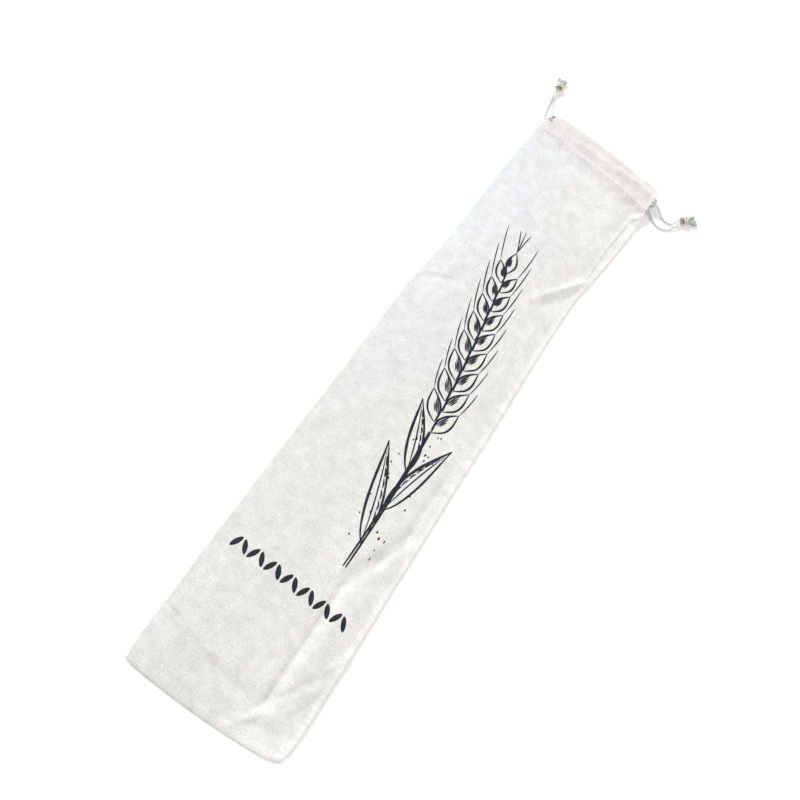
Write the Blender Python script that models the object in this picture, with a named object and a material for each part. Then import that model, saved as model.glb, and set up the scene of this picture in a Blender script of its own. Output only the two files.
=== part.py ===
"""A long linen bread bag that lies flat on its back, with a drawstring at each side of its mouth.

The bag is one piece of linen. It is folded lengthwise along its left edge, seamed along its right
edge and its bottom, and its mouth is hemmed to the inside as a casing for the two cords. Each
drawstring enters the casing at its own side, goes once round the mouth inside the hem, comes back
out beside its start, and has its two ends tied in one knot with a short frayed tail.

The frame is in metres with +Z up. The bag lies on z = 0 with its mouth towards +Y and its left
edge towards -X, and the origin is under the middle of the cloth.
"""

import math

import bmesh
import bpy

# Everything below is in millimetres, and MM turns it into metres where a mesh is made.
MM = 0.001

LENGTH = 693.0  # from the lowest point of the bottom edge to the mouth
CLOTH = 1.0  # the thickness of the linen
SEAM = 5.0  # the two layers are sewn together this far in from the seamed edges
CORD = 2.0  # the drawstrings' diameter
GAP = 0.3  # between pieces that touch on the real bag
CHANNEL = CORD + 2 * GAP  # the height of the space inside the casing
CASING = CLOTH + CHANNEL + CLOTH  # the thickness of the casing over a cord
BACK_LANE = CASING / 2  # how high a cord lies in the back half of the casing
BEYOND = 8.0  # how far a cutter runs past what it cuts

# Sections across the bag. "along" starts at the bottom edge, "left" and "right" are the distances of
# the two edges from the middle line, "fold" and "seam" are the heights of the cloth at those edges,
# and "crown" is how much higher the front stands between them.
SECTIONS = (
    # along, left, right, fold, seam, crown
    (0.0, 71.0, 74.0, 2.2, 2.2, 0.0),
    (13.0, 72.4, 77.0, 2.3, 2.2, 3.6),
    (35.0, 73.1, 77.7, 2.4, 2.2, 8.5),
    (68.0, 73.6, 77.2, 2.4, 2.2, 10.2),
    (113.0, 74.7, 75.7, 2.4, 2.2, 10.2),
    (173.0, 75.2, 74.2, 2.4, 2.2, 10.2),
    (233.0, 75.9, 72.6, 2.4, 2.2, 10.2),
    (293.0, 76.2, 70.6, 2.4, 2.2, 10.2),
    (353.0, 76.9, 69.5, 2.5, 2.2, 10.2),
    (403.0, 77.4, 67.9, 2.6, 2.2, 10.2),
    (431.0, 77.7, 67.1, 2.8, 2.2, 10.2),
    (452.0, 75.3, 66.5, 3.1, 2.2, 10.1),
    (493.0, 74.1, 66.1, 3.6, 2.2, 9.8),
    (523.0, 74.0, 66.9, 4.3, 2.2, 9.5),
    (557.0, 73.9, 70.9, 5.3, 2.2, 9.0),
    (584.0, 73.8, 73.8, 6.5, 2.2, 8.6),
    (612.0, 73.9, 75.8, 8.4, 2.4, 7.6),
    (638.0, 73.7, 77.0, 10.8, 3.4, 6.2),
    (655.0, 73.0, 75.8, 12.2, 7.6, 4.4),
    (668.0, 72.0, 75.0, 12.6, 11.8, 3.5),
    (683.0, 69.0, 76.0, 12.6, 12.6, 3.2),
    (693.0, 64.0, 75.0, 12.6, 12.6, 3.0),
)

# The casing is deeper at the right than at the left, because the hem was turned by hand.
CASING_DEPTH = 26.0
DEPTH_CHANGE = 3.0  # more than that at the right, and less at the left
DEPTH_TURN = 60.0  # the depth changes over this distance to each side of its middle
DEPTH_MIDDLE = -10.0

# Rows of the casing. "part" is the distance from the mouth's edge as a part of the casing's depth,
# and "thick" is how thick the hemmed layer is there, with a shallow trough between the two cords.
CASING_ROWS = (
    # part, thick
    (1.32, 1.0),
    (1.16, 1.0),
    (1.09, 2.0),
    (1.00, 2.0),
    (0.93, 3.0),
    (0.82, 4.3),
    (0.68, 4.6),
    (0.52, 4.4),
    (0.36, 4.6),
    (0.16, 4.5),
    (0.06, 3.6),
    (0.00, 1.8),
)
BODY_END = 1.5  # the plain body ends this many casing depths from the mouth

# The bottom edge bows down a little, most of all left of its middle.
BOTTOM_BOW = 3.6
BOW_MIDDLE = -14.0
BOW_HALF = 75.0
BOW_FADES = 60.0  # above this the bow is gone

# The main folds of the front. Each runs straight from one place (x, along) to another with a height
# above the crown, or a depth where it is negative, and falls off over its width to each side.
FOLDS = (
    # from x, from along, to x, to along, height, width
    (-76.0, 57.0, -50.0, 50.0, -1.6, 6.0),  # the cross trough of the bottom, sharp at its start
    (-50.0, 50.0, -22.0, 42.0, -1.6, 9.0),
    (-22.0, 42.0, 12.0, 40.0, -1.3, 10.0),
    (12.0, 40.0, 38.0, 42.0, -1.0, 7.0),
    (-70.0, 70.0, -20.0, 62.0, 1.0, 10.0),  # the soft swell above that trough
    (30.0, 148.0, 31.0, 86.0, -1.5, 6.0),  # the lengthwise crease: a trough, and a ridge beside it
    (31.0, 86.0, 33.0, 34.0, -1.3, 6.0),
    (39.0, 150.0, 40.0, 100.0, 2.4, 6.0),
    (40.0, 100.0, 42.0, 30.0, 2.0, 7.0),
    (35.0, 150.0, 50.0, 184.0, -2.0, 6.0),  # the trough that goes on up to the seamed edge
    (50.0, 184.0, 61.0, 216.0, -2.0, 6.0),
    (60.0, 212.0, 59.0, 262.0, -1.3, 4.5),  # and along it
    (59.0, 262.0, 59.0, 300.0, -1.0, 4.5),
    (43.0, 32.0, 68.0, 82.0, -1.4, 6.0),  # two short creases that fan out at the bottom right
    (41.0, 27.0, 25.0, 6.0, 1.0, 4.5),
    (60.0, 52.0, 74.0, 100.0, 1.2, 6.0),
    (66.0, 546.0, 30.0, 488.0, 1.6, 5.0),  # the thin ridge from the right edge's pinch
    (60.0, 520.0, 42.0, 488.0, -1.2, 6.0),
    (68.0, 640.0, 58.0, 655.0, -2.2, 8.0),  # the hollow under the casing's right end
    (52.0, 640.0, 46.0, 610.0, 1.2, 9.0),
    (-62.0, 662.0, -34.0, 655.0, -1.0, 4.0),  # a short crease under its left end
    (-70.0, 436.0, -40.0, 452.0, -1.2, 7.0),  # the dent at the left edge's kink
    (-72.0, 300.0, -42.0, 276.0, 0.9, 8.0),  # weak cross wrinkles along the folded edge
    (-72.0, 262.0, -38.0, 236.0, 0.9, 8.0),
    (-72.0, 222.0, -36.0, 200.0, 1.0, 9.0),
    (-70.0, 360.0, -44.0, 344.0, 0.7, 9.0),
)

# The seam's thread draws the seamed edge into small puckers on this stretch of it.
PUCKER_FROM = 205.0
PUCKER_TO = 455.0
PUCKER_PITCH = 14.0
PUCKER_HEIGHT = 1.1
PUCKER_REACH = 14.0  # how far they run in from the seam

# The front between its two edges, and where the folds fade out.
LOWEST_FRONT = 2 * CLOTH + 0.2  # the front's folds never sink onto the back layer
DOME_POWER = 2.6  # how flat the crown is in its middle, and how steep at the edges
EDGE_FADE = 8.0
BOTTOM_FADE = 12.0
MOUTH_FADE = 20.0
MOUTH_SMOOTH = 20.0  # no folds this near to the mouth
CASING_FULL = 0.8  # this near to the mouth, in casing depths, the front has the casing's whole height
SLIT_FROM = 1.22  # the right seam ends this many casing depths from the mouth
SLIT_FADE = 0.16
POCKET_CLEAR = 1.0  # the pocket starts this far above the bottom seam

# How finely the cloth is divided.
BODY_ROWS = 66
COLUMNS = 24
COLUMN_CROWDING = 0.12  # the columns follow a cosine without this part at each end
ARC_STEPS = 5
LEFT_X, RIGHT_X = -70.0, 72.0  # a row's place at the two edges is read here first

# The space inside the casing, as parts of the casing's depth, and how finely it is divided.
CHANNEL_MIDDLE = 0.50
CHANNEL_HALF = 0.37
CHANNEL_ACROSS_POWER = 0.7
CHANNEL_UP_POWER = 0.45
CHANNEL_SIDES = 12
CHANNEL_FRONT_STEPS = 22
CHANNEL_TURN_STEPS = 8
CHANNEL_BACK_STEPS = 8

# The buttonholes near the fold, where the left drawstring comes out.
FRONT_HOLE = (-64.5, 680.5)
FRONT_HOLE_SIZE = (7.0, 3.2)
FRONT_HOLE_TURN = math.radians(-14)
HOLE_SIDES = 16
FOLD_HOLE_ALONG = 686.5
FOLD_HOLE_WIDTH = 3.4
FOLD_HOLE_FROM = 100  # degrees round the fold, from +X over the top
FOLD_HOLE_SWEEP = 155
FOLD_HOLE_STEPS = 8

# Where the cords' lanes in the casing begin and end, along the bag.
LEFT_LANES = {"front_left": 680.5, "front_right": 681.5, "back_right": 676.5, "back_left": 686.5}
RIGHT_LANES = {"front_right": 676.0, "front_left": 675.0, "back_left": 675.0, "back_right": 671.0}
LANE_LEFT_END = -59.0
LANE_RIGHT_END = 74.0
CASING_END = 76.6  # where a cord leaves the casing at the right
LANE_STEPS = 18
TURN_STEPS = 8
RIGHT_TURN_OUT = 3.8  # how far the left drawstring's turn stands out at the right

# The free stretches of the drawstrings, hand placed: x, along, z. They drop from the casing to the
# surface the bag lies on and rise a little into their knot.
FREE_ROUTES = {
    "tie_right_front": (
        (77.0, 676.1, 10.3), (79.5, 676.4, 9.9), (82.6, 676.9, 8.6), (85.6, 676.9, 6.6),
        (88.6, 676.3, 4.6), (91.8, 675.3, 2.8), (95.0, 674.3, 1.6), (98.4, 673.6, 1.1),
        (101.8, 673.5, 1.1), (105.0, 674.2, 1.2), (107.6, 675.6, 1.7), (109.4, 678.2, 2.8),
        (110.6, 681.2, 3.9), (111.9, 684.0, 4.2),
    ),
    "tie_right_back": (
        (77.0, 670.9, 2.3), (79.4, 670.2, 2.1), (81.8, 668.7, 1.7), (84.2, 666.6, 1.3),
        (87.2, 664.4, 1.1), (90.8, 662.6, 1.1), (94.6, 661.6, 1.1), (98.6, 661.5, 1.1),
        (102.4, 662.6, 1.1), (105.8, 664.8, 1.1), (108.8, 668.0, 1.2), (111.2, 671.8, 1.7),
        (112.6, 675.6, 2.8), (113.1, 679.0, 3.9), (113.7, 682.2, 4.2),
    ),
    "tie_left_front": (
        (-60.9, 680.5, 10.6), (-63.0, 680.6, 11.6), (-64.6, 681.0, 12.9), (-65.6, 682.6, 13.8),
        (-66.2, 685.2, 13.3), (-66.4, 688.2, 12.0), (-67.0, 691.2, 10.6), (-68.2, 694.8, 8.7),
        (-69.7, 698.8, 6.4), (-71.2, 703.2, 4.2), (-72.7, 708.0, 2.4), (-74.2, 712.8, 1.3),
        (-75.6, 718.0, 1.3), (-76.7, 722.4, 2.3), (-77.3, 725.6, 3.8), (-77.5, 728.4, 4.2),
    ),
    "tie_left_back": (
        (-60.9, 686.5, 2.3), (-63.6, 686.5, 2.3), (-66.0, 686.5, 2.3), (-68.0, 686.6, 2.2),
        (-70.2, 687.4, 1.8), (-72.2, 689.8, 1.2), (-73.8, 694.4, 1.1), (-75.0, 699.7, 1.1),
        (-76.2, 706.4, 1.1), (-77.5, 712.8, 1.1), (-78.7, 718.6, 1.3), (-79.5, 722.6, 2.4),
        (-79.9, 725.6, 3.8), (-80.0, 728.2, 4.2),
    ),
}
FREE_STEP = 2.0  # between two points of a free stretch
SMOOTH_STEPS = 12

# The knots lie on their side. "middle" is where the knot begins, "heading" is the way its tail
# points, in degrees from +X, and "long" and "wide" scale the common shape below.
KNOTS = (
    # name, middle x, middle along, heading, long, wide
    ("knot_right", 113.2, 683.6, 46.0, 1.0, 1.0),
    ("knot_left", -78.8, 728.9, 97.0, 0.86, 0.94),
)
# The knot's common shape: three turns of cord, a neck, and the frayed tail that spreads and sinks.
KNOT_SECTIONS = (
    # along, half wide, half high, height of its middle
    (0.0, 2.5, 1.5, 4.2),
    (0.9, 3.7, 2.9, 4.2),
    (2.8, 4.7, 4.2, 4.2),
    (4.4, 4.2, 3.7, 4.2),
    (6.2, 4.9, 4.3, 4.2),
    (7.8, 4.2, 3.7, 4.1),
    (9.6, 4.7, 4.1, 4.0),
    (11.2, 3.4, 3.1, 3.8),
    (12.4, 2.7, 2.3, 3.4),
    (14.6, 3.7, 2.0, 2.9),
    (17.6, 5.4, 1.8, 2.3),
    (20.2, 6.3, 1.5, 1.8),
    (21.2, 5.2, 0.8, 1.5),
)
KNOT_SIDES = 14

LINEN = (0.80, 0.79, 0.74, 1.0)
COTTON = (0.82, 0.78, 0.68, 1.0)


def clamp(value, low, high):
    return max(low, min(high, value))


def ease(part):
    """A smooth step from 0 to 1."""
    part = clamp(part, 0.0, 1.0)
    return part * part * (3.0 - 2.0 * part)


def read_table(table, column, place):
    """Reads a column of a table at a place, on a smooth curve through its rows."""
    last = len(table) - 1
    row = 0
    while row < last - 1 and place > table[row + 1][0]:
        row += 1

    def slope(i):
        low, high = max(i - 1, 0), min(i + 1, last)
        return (table[high][column] - table[low][column]) / (table[high][0] - table[low][0])

    start, end = table[row], table[row + 1]
    span = end[0] - start[0]
    t = clamp((place - start[0]) / span, 0.0, 1.0)
    return (
        (1 + 2 * t) * (1 - t) ** 2 * start[column]
        + t * (1 - t) ** 2 * span * slope(row)
        + t * t * (3 - 2 * t) * end[column]
        + t * t * (t - 1) * span * slope(row + 1)
    )


def left_edge(along):
    return -read_table(SECTIONS, 1, along)


def right_edge(along):
    return read_table(SECTIONS, 2, along)


def casing_depth(x):
    return CASING_DEPTH + DEPTH_CHANGE * clamp((x - DEPTH_MIDDLE) / DEPTH_TURN, -1.0, 1.0)


def from_mouth(x, along):
    """The distance from the mouth's edge, as a part of the casing's depth there."""
    return (LENGTH - along) / casing_depth(x)


def hem_thickness(part):
    """The thickness of a hemmed layer: plain cloth, then two layers, then the casing round its cords."""
    if part >= CASING_ROWS[0][0]:
        return CLOTH
    for (outer, thick), (inner, next_thick) in zip(CASING_ROWS, CASING_ROWS[1:]):
        if part >= inner:
            return next_thick + (thick - next_thick) * (part - inner) / (outer - inner)
    return CASING_ROWS[-1][1]


def fold_height(x, along):
    """What the folds and the seam's puckers add to the front at a place."""
    total = 0.0
    for x0, along0, x1, along1, height, width in FOLDS:
        dx, dy = x1 - x0, along1 - along0
        part = clamp(((x - x0) * dx + (along - along0) * dy) / (dx * dx + dy * dy), 0.0, 1.0)
        away = math.hypot(x - x0 - part * dx, along - along0 - part * dy)
        total += height * math.exp(-((away / width) ** 2))
    if PUCKER_FROM < along < PUCKER_TO:
        inward = right_edge(along) - SEAM - x
        swell = math.sin(math.pi * (along - PUCKER_FROM) / (PUCKER_TO - PUCKER_FROM))
        wave = 0.5 - 0.5 * math.cos(2 * math.pi * along / PUCKER_PITCH)
        fades = math.exp(-abs(inward) / PUCKER_REACH * 2.0) if inward > 0 else 1.0
        total += PUCKER_HEIGHT * swell * wave * fades
    return total


def front_height(x, along):
    """The height of the front's outer face over the body, without what the casing adds."""
    fold = read_table(SECTIONS, 3, along)
    seam = read_table(SECTIONS, 4, along)
    crown = read_table(SECTIONS, 5, along)
    start = left_edge(along) + fold / 2
    end = right_edge(along) - SEAM
    part = clamp((x - start) / (end - start), 0.0, 1.0)
    dome = 1.0 - abs(2.0 * part - 1.0) ** DOME_POWER
    fade = ease((x - start) / EDGE_FADE) * ease(along / BOTTOM_FADE)
    fade *= ease((LENGTH - along - MOUTH_SMOOTH) / MOUTH_FADE)
    base = fold + (seam - fold) * ease(part) + crown * dome
    return max(LOWEST_FRONT, base + fold_height(x, along) * fade)


def front_middle(x, along):
    """The height of the middle of the front layer, which is thicker where it is hemmed."""
    into_casing = ease((BODY_END - from_mouth(x, along)) / (BODY_END - CASING_FULL))
    return front_height(x, along) - (CLOTH + (CASING - CLOTH) * into_casing) / 2


def front_top(x, along):
    return front_middle(x, along) + hem_thickness(from_mouth(x, along)) / 2


def front_underside(x, along):
    return front_middle(x, along) - hem_thickness(from_mouth(x, along)) / 2


def bottom_edge(x, along):
    """How far a place near the bottom is moved up, so that the bottom edge bows."""
    bow = BOTTOM_BOW * ((x - BOW_MIDDLE) / BOW_HALF) ** 2
    return bow * (1.0 - ease(along / BOW_FADES))


def place(x, along, z):
    """A place on the bag as a point of the frame, in metres."""
    return (x * MM, (along - LENGTH / 2) * MM, z * MM)


def row_places(first):
    """The rows across the bag, each as a function from x to the distance along the bag."""
    rows = []
    for i in range(BODY_ROWS):
        part = i / BODY_ROWS
        rows.append(lambda x, part=part: first + (LENGTH - BODY_END * casing_depth(x) - first) * part)
    for part, _ in CASING_ROWS:
        rows.append(lambda x, part=part: LENGTH - part * casing_depth(x))
    return rows


def column_parts():
    """Parts of the width from 0 to 1, closer together towards the two edges."""
    parts = []
    for i in range(COLUMNS + 1):
        turn = COLUMN_CROWDING + (1 - 2 * COLUMN_CROWDING) * i / COLUMNS
        parts.append(-math.cos(math.pi * turn))
    return [(p - parts[0]) / (parts[-1] - parts[0]) for p in parts]


def arc(centre_x, low, high, radius_x):
    """Points up round the folded edge, from its lowest to its highest point."""
    middle, radius = (low + high) / 2, (high - low) / 2
    points = []
    for i in range(ARC_STEPS + 1):
        angle = math.pi * i / ARC_STEPS
        points.append((centre_x - radius_x * math.sin(angle), middle - radius * math.cos(angle)))
    return points


def outer_section(row):
    """One row of the bag's outer face, from the folded edge's foot over the front to the seam's foot."""
    edge = row(left_edge(row(LEFT_X)))
    high = front_top(left_edge(edge) + read_table(SECTIONS, 3, edge) / 2, edge)
    start, end = left_edge(edge) + high / 2, right_edge(row(RIGHT_X))
    section = [(x, edge, z) for x, z in arc(start, 0.0, high, high / 2)][:-1]
    for part in column_parts():
        x = start + (end - start) * part
        along = row(x)
        section.append((x, along, front_top(x, along)))
    section.append((end, row(end), 0.0))
    return section


def pocket_section(row):
    """One row of the pocket, inside the cloth: round the fold, under the front and down at the seam."""
    edge = row(left_edge(row(LEFT_X)))
    wall = hem_thickness(from_mouth(left_edge(edge), edge))
    low, high = wall, front_underside(left_edge(edge) + read_table(SECTIONS, 3, edge) / 2, edge)
    start = left_edge(edge) + wall + (high - low) / 2
    last = row(RIGHT_X)
    open_side = ease((SLIT_FROM - from_mouth(RIGHT_X, last)) / SLIT_FADE)
    end = right_edge(last) - SEAM + (SEAM + BEYOND) * open_side
    section = [(x, edge, z) for x, z in arc(start, low, high, (high - low) / 2)][:-1]
    for step in column_parts():
        x = start + (end - start) * step
        along = row(x)
        inside = min(x, right_edge(along))
        section.append((x, along, front_underside(inside, along)))
    section.append((end, row(end), hem_thickness(from_mouth(end, row(end)))))
    return section


def new_object(name, points, faces):
    """A mesh object from points in millimetres and faces, with its normals pointing out."""
    mesh = bpy.data.meshes.new(name)
    mesh.from_pydata([place(*point) for point in points], [], faces)
    work = bmesh.new()
    work.from_mesh(mesh)
    bmesh.ops.remove_doubles(work, verts=work.verts, dist=1e-7)
    bmesh.ops.recalc_face_normals(work, faces=work.faces)
    work.to_mesh(mesh)
    work.free()
    piece = bpy.data.objects.new(name, mesh)
    bpy.context.scene.collection.objects.link(piece)
    return piece


def lofted(name, sections):
    """A closed body through rings of points, with a flat face at each end."""
    size = len(sections[0])
    points = [point for section in sections for point in section]
    faces = []
    for i in range(len(sections) - 1):
        for j in range(size):
            a, b = i * size + j, i * size + (j + 1) % size
            faces.append((a, b, b + size, a + size))
    faces.append(tuple(range(size)))
    faces.append(tuple((len(sections) - 1) * size + j for j in reversed(range(size))))
    return new_object(name, points, faces)


def outer_body():
    """The bag's outer form: the front from the fold's foot to the seam's foot, closed by flat faces."""
    sections = []
    for row in row_places(0.0):
        section = outer_section(row)
        sections.append([(x, along + bottom_edge(x, along), z) for x, along, z in section])
    size, rows = len(sections[0]), len(sections)
    points = [point for section in sections for point in section]
    faces = []
    for i in range(rows - 1):
        for j in range(size - 1):
            a = i * size + j
            faces.append((a, a + 1, a + 1 + size, a + size))
    foot = [(x, along, 0.0) for x, along, _ in sections[0][ARC_STEPS + 1:-2]]
    below = [0] + [len(points) + j for j in range(len(foot))] + [size - 1]
    points += foot
    above = list(range(ARC_STEPS, size - 1))
    faces.append(tuple(range(ARC_STEPS + 1)))
    for j in range(len(above) - 1):
        faces.append((above[j], above[j + 1], below[j + 1], below[j]))
    faces.append(tuple((rows - 1) * size + j for j in range(size)))
    left = [i * size for i in range(rows - 1, 0, -1)]
    right = [i * size + size - 1 for i in range(1, rows)]
    faces.append(tuple(left + below + right))
    return new_object("bag_cloth", points, faces)


def make_cutter(piece):
    piece.hide_render = True
    piece.display_type = "WIRE"
    return piece


def pocket_cutter():
    sections = [pocket_section(row) for row in row_places(SEAM + BOTTOM_BOW + POCKET_CLEAR)]
    sections.append([(x, LENGTH + BEYOND, z) for x, _, z in sections[-1]])
    return make_cutter(lofted("cut_pocket", sections))


def channel_ring():
    """The casing's inner section as (part of the depth, height) pairs, a flat rounded slot."""
    ring = []
    for i in range(CHANNEL_SIDES):
        angle = 2 * math.pi * i / CHANNEL_SIDES
        across = math.copysign(abs(math.cos(angle)) ** CHANNEL_ACROSS_POWER, math.cos(angle))
        up = math.copysign(abs(math.sin(angle)) ** CHANNEL_UP_POWER, math.sin(angle))
        ring.append((CHANNEL_MIDDLE + CHANNEL_HALF * across, CHANNEL / 2 * up))
    return ring


def fold_turn(along):
    """The middle and the radius of a cord's turn inside the casing's folded edge."""
    middle = left_edge(along) + read_table(SECTIONS, 3, along) / 2
    radius = (front_middle(middle, along) - BACK_LANE) / 2
    return middle, radius


def channel_cutter():
    """The space inside the casing: along the front, round the fold at the left and along the back."""
    far = LANE_RIGHT_END + 2 * BEYOND
    ring, sections = channel_ring(), []
    for i in range(CHANNEL_FRONT_STEPS + 1):
        share = i / CHANNEL_FRONT_STEPS
        sections.append([front_channel_point(far, share, part, up) for part, up in ring])
    for i in range(1, CHANNEL_TURN_STEPS):
        angle = math.pi * i / CHANNEL_TURN_STEPS
        sections.append([turn_channel_point(angle, part, up) for part, up in ring])
    for i in range(CHANNEL_BACK_STEPS + 1):
        share = i / CHANNEL_BACK_STEPS
        sections.append([back_channel_point(far, share, part, up) for part, up in ring])
    return make_cutter(lofted("cut_channel", sections))


def turn_place(part):
    """Where the channel starts to turn at the left, for a place in its section."""
    along = LENGTH - part * casing_depth(LEFT_X)
    middle, radius = fold_turn(along)
    return middle, along, radius


def front_channel_point(far, share, part, up):
    turn_x, _, _ = turn_place(part)
    x = far + (turn_x - far) * share
    along = LENGTH - part * casing_depth(x)
    inside = min(x, right_edge(along))
    return (x, along, front_middle(inside, along) + up)


def turn_channel_point(angle, part, up):
    turn_x, along, radius = turn_place(part)
    reach = radius + up
    return (turn_x - reach * math.sin(angle), along, BACK_LANE + radius + reach * math.cos(angle))


def back_channel_point(far, share, part, up):
    turn_x, _, _ = turn_place(part)
    x = turn_x + (far - turn_x) * share
    return (x, LENGTH - part * casing_depth(x), BACK_LANE - up)


def front_hole_cutter():
    """A slit with round ends through the outer layer of the front, above its cord."""
    length, width = FRONT_HOLE_SIZE
    centre_x, centre_along = FRONT_HOLE
    ring = []
    for i in range(HOLE_SIDES):
        angle = 2 * math.pi * i / HOLE_SIDES
        x = math.copysign(length / 2 - width / 2, math.cos(angle)) + width / 2 * math.cos(angle)
        along = width / 2 * math.sin(angle)
        turned_x = x * math.cos(FRONT_HOLE_TURN) - along * math.sin(FRONT_HOLE_TURN)
        turned_along = x * math.sin(FRONT_HOLE_TURN) + along * math.cos(FRONT_HOLE_TURN)
        ring.append((centre_x + turned_x, centre_along + turned_along))
    low = front_middle(centre_x, centre_along)
    sections = [[(x, along, z) for x, along in ring] for z in (low, low + BEYOND)]
    return make_cutter(lofted("cut_front_hole", sections))


def fold_hole_cutter():
    """A slit round the folded edge through its outer layer only, as a bent slab."""
    middle, radius = fold_turn(FOLD_HOLE_ALONG)
    inner, outer = radius - GAP, radius + BEYOND
    ring = []
    steps = range(FOLD_HOLE_STEPS + 1)
    for reach, order in ((inner, steps), (outer, reversed(steps))):
        for i in order:
            angle = math.radians(FOLD_HOLE_FROM + FOLD_HOLE_SWEEP * i / FOLD_HOLE_STEPS)
            ring.append((middle + reach * math.cos(angle), BACK_LANE + radius + reach * math.sin(angle)))
    sections = []
    for side in (-1, 1):
        along = FOLD_HOLE_ALONG + side * FOLD_HOLE_WIDTH / 2
        sections.append([(x, along, z) for x, z in ring])
    return make_cutter(lofted("cut_fold_hole", sections))


def cut(piece, cutter):
    modifier = piece.modifiers.new("cut " + cutter.name, "BOOLEAN")
    modifier.operation = "DIFFERENCE"
    modifier.object = cutter
    modifier.solver = "EXACT"


def bag_cloth(material):
    bag = outer_body()
    for cutter in (pocket_cutter(), channel_cutter(), front_hole_cutter(), fold_hole_cutter()):
        cut(bag, cutter)
    bag.data.materials.append(material)
    return bag


def front_lane(x_from, x_to, along_from, along_to):
    """Points of a cord in the front half of the casing, from one x to another."""
    points = []
    for i in range(LANE_STEPS + 1):
        part = i / LANE_STEPS
        x = x_from + (x_to - x_from) * part
        along = along_from + (along_to - along_from) * ease(part)
        points.append((x, along, front_middle(min(x, right_edge(along)), along)))
    return points


def back_lane(x_from, x_to, along_from, along_to):
    points = []
    for i in range(LANE_STEPS + 1):
        part = i / LANE_STEPS
        x = x_from + (x_to - x_from) * part
        points.append((x, along_from + (along_to - along_from) * ease(part), BACK_LANE))
    return points


def left_drawstring_route():
    """In at the front buttonhole, along the front, round the right end in the open, back to the fold."""
    lanes = LEFT_LANES
    route = front_lane(LANE_LEFT_END, LANE_RIGHT_END, lanes["front_left"], lanes["front_right"])
    high = route[-1][2]
    for i in range(1, TURN_STEPS):
        angle = math.pi * i / TURN_STEPS
        share = i / TURN_STEPS
        route.append((
            CASING_END + RIGHT_TURN_OUT * math.sin(angle),
            lanes["front_right"] + (lanes["back_right"] - lanes["front_right"]) * ease(share),
            (high + BACK_LANE) / 2 + (high - BACK_LANE) / 2 * math.cos(angle),
        ))
    return route + back_lane(LANE_RIGHT_END, LANE_LEFT_END, lanes["back_right"], lanes["back_left"])


def right_drawstring_route():
    """In at the casing's right end, along the front, round inside the fold and back along the back."""
    lanes = RIGHT_LANES
    middle, radius = fold_turn(lanes["front_left"])
    route = front_lane(CASING_END, middle, lanes["front_right"], lanes["front_left"])
    for i in range(1, TURN_STEPS):
        angle = math.pi * i / TURN_STEPS
        route.append((
            middle - radius * math.sin(angle),
            lanes["front_left"],
            BACK_LANE + radius + radius * math.cos(angle),
        ))
    return route + back_lane(middle, CASING_END, lanes["back_left"], lanes["back_right"])


def smooth_route(points, step):
    """Evenly spaced points on a smooth curve through the route's own points."""
    fine = []
    for i in range(len(points) - 1):
        before, start = points[max(i - 1, 0)], points[i]
        end, after = points[i + 1], points[min(i + 2, len(points) - 1)]
        for k in range(SMOOTH_STEPS):
            t = k / SMOOTH_STEPS
            fine.append(tuple(
                0.5 * (2 * b + (c - a) * t + (2 * a - 5 * b + 4 * c - d) * t * t
                       + (3 * b - a - 3 * c + d) * t ** 3)
                for a, b, c, d in zip(before, start, end, after)
            ))
    fine.append(points[-1])
    distance = [0.0]
    for a, b in zip(fine, fine[1:]):
        distance.append(distance[-1] + math.dist(a, b))
    count = round(distance[-1] / step)
    even, at = [], 0
    for i in range(count + 1):
        target = distance[-1] * i / count
        while at < len(fine) - 2 and distance[at + 1] < target:
            at += 1
        share = (target - distance[at]) / (distance[at + 1] - distance[at])
        even.append(tuple(a + (b - a) * share for a, b in zip(fine[at], fine[at + 1])))
    return even


def cord(name, route, material):
    """A round cord along a route, as a curve with filled ends."""
    curve = bpy.data.curves.new(name, "CURVE")
    curve.dimensions = "3D"
    curve.bevel_depth = CORD / 2 * MM
    curve.bevel_resolution = 2
    curve.use_fill_caps = True
    spline = curve.splines.new("POLY")
    spline.points.add(len(route) - 1)
    for point, there in zip(spline.points, route):
        point.co = (*place(*there), 1.0)
    curve.materials.append(material)
    piece = bpy.data.objects.new(name, curve)
    bpy.context.scene.collection.objects.link(piece)
    return piece


def knot(name, x, along, heading, long, wide, material):
    """A tied knot and its frayed tail, lying on its side, flat where it touches the surface."""
    turn = math.radians(heading)
    sections = []
    for reach, half_wide, half_high, middle in KNOT_SECTIONS:
        ring = []
        for i in range(KNOT_SIDES):
            angle = 2 * math.pi * i / KNOT_SIDES
            side = half_wide * wide * math.cos(angle)
            ring.append((
                x + reach * long * math.cos(turn) - side * math.sin(turn),
                along + reach * long * math.sin(turn) + side * math.cos(turn),
                max(0.0, middle + half_high * math.sin(angle)),
            ))
        sections.append(ring)
    piece = lofted(name, sections)
    piece.data.materials.append(material)
    piece.data.shade_smooth()
    return piece


def plain_material(name, color, roughness):
    material = bpy.data.materials.new(name)
    material.use_nodes = True
    shader = material.node_tree.nodes["Principled BSDF"]
    shader.inputs["Base Color"].default_value = color
    shader.inputs["Roughness"].default_value = roughness
    shader.inputs["Metallic"].default_value = 0.0
    return material


def main():
    for old in list(bpy.data.objects):
        bpy.data.objects.remove(old)
    bag_cloth(plain_material("linen", LINEN, 0.9))
    cord("drawstring_left", left_drawstring_route(), plain_material("cotton_left", COTTON, 0.8))
    cord("drawstring_right", right_drawstring_route(), plain_material("cotton_right", COTTON, 0.8))
    for name, points in FREE_ROUTES.items():
        cord(name, smooth_route(points, FREE_STEP), plain_material("cotton_" + name, COTTON, 0.8))
    for name, x, along, heading, long, wide in KNOTS:
        knot(name, x, along, heading, long, wide, plain_material("cotton_" + name, COTTON, 0.85))


main()
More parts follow.
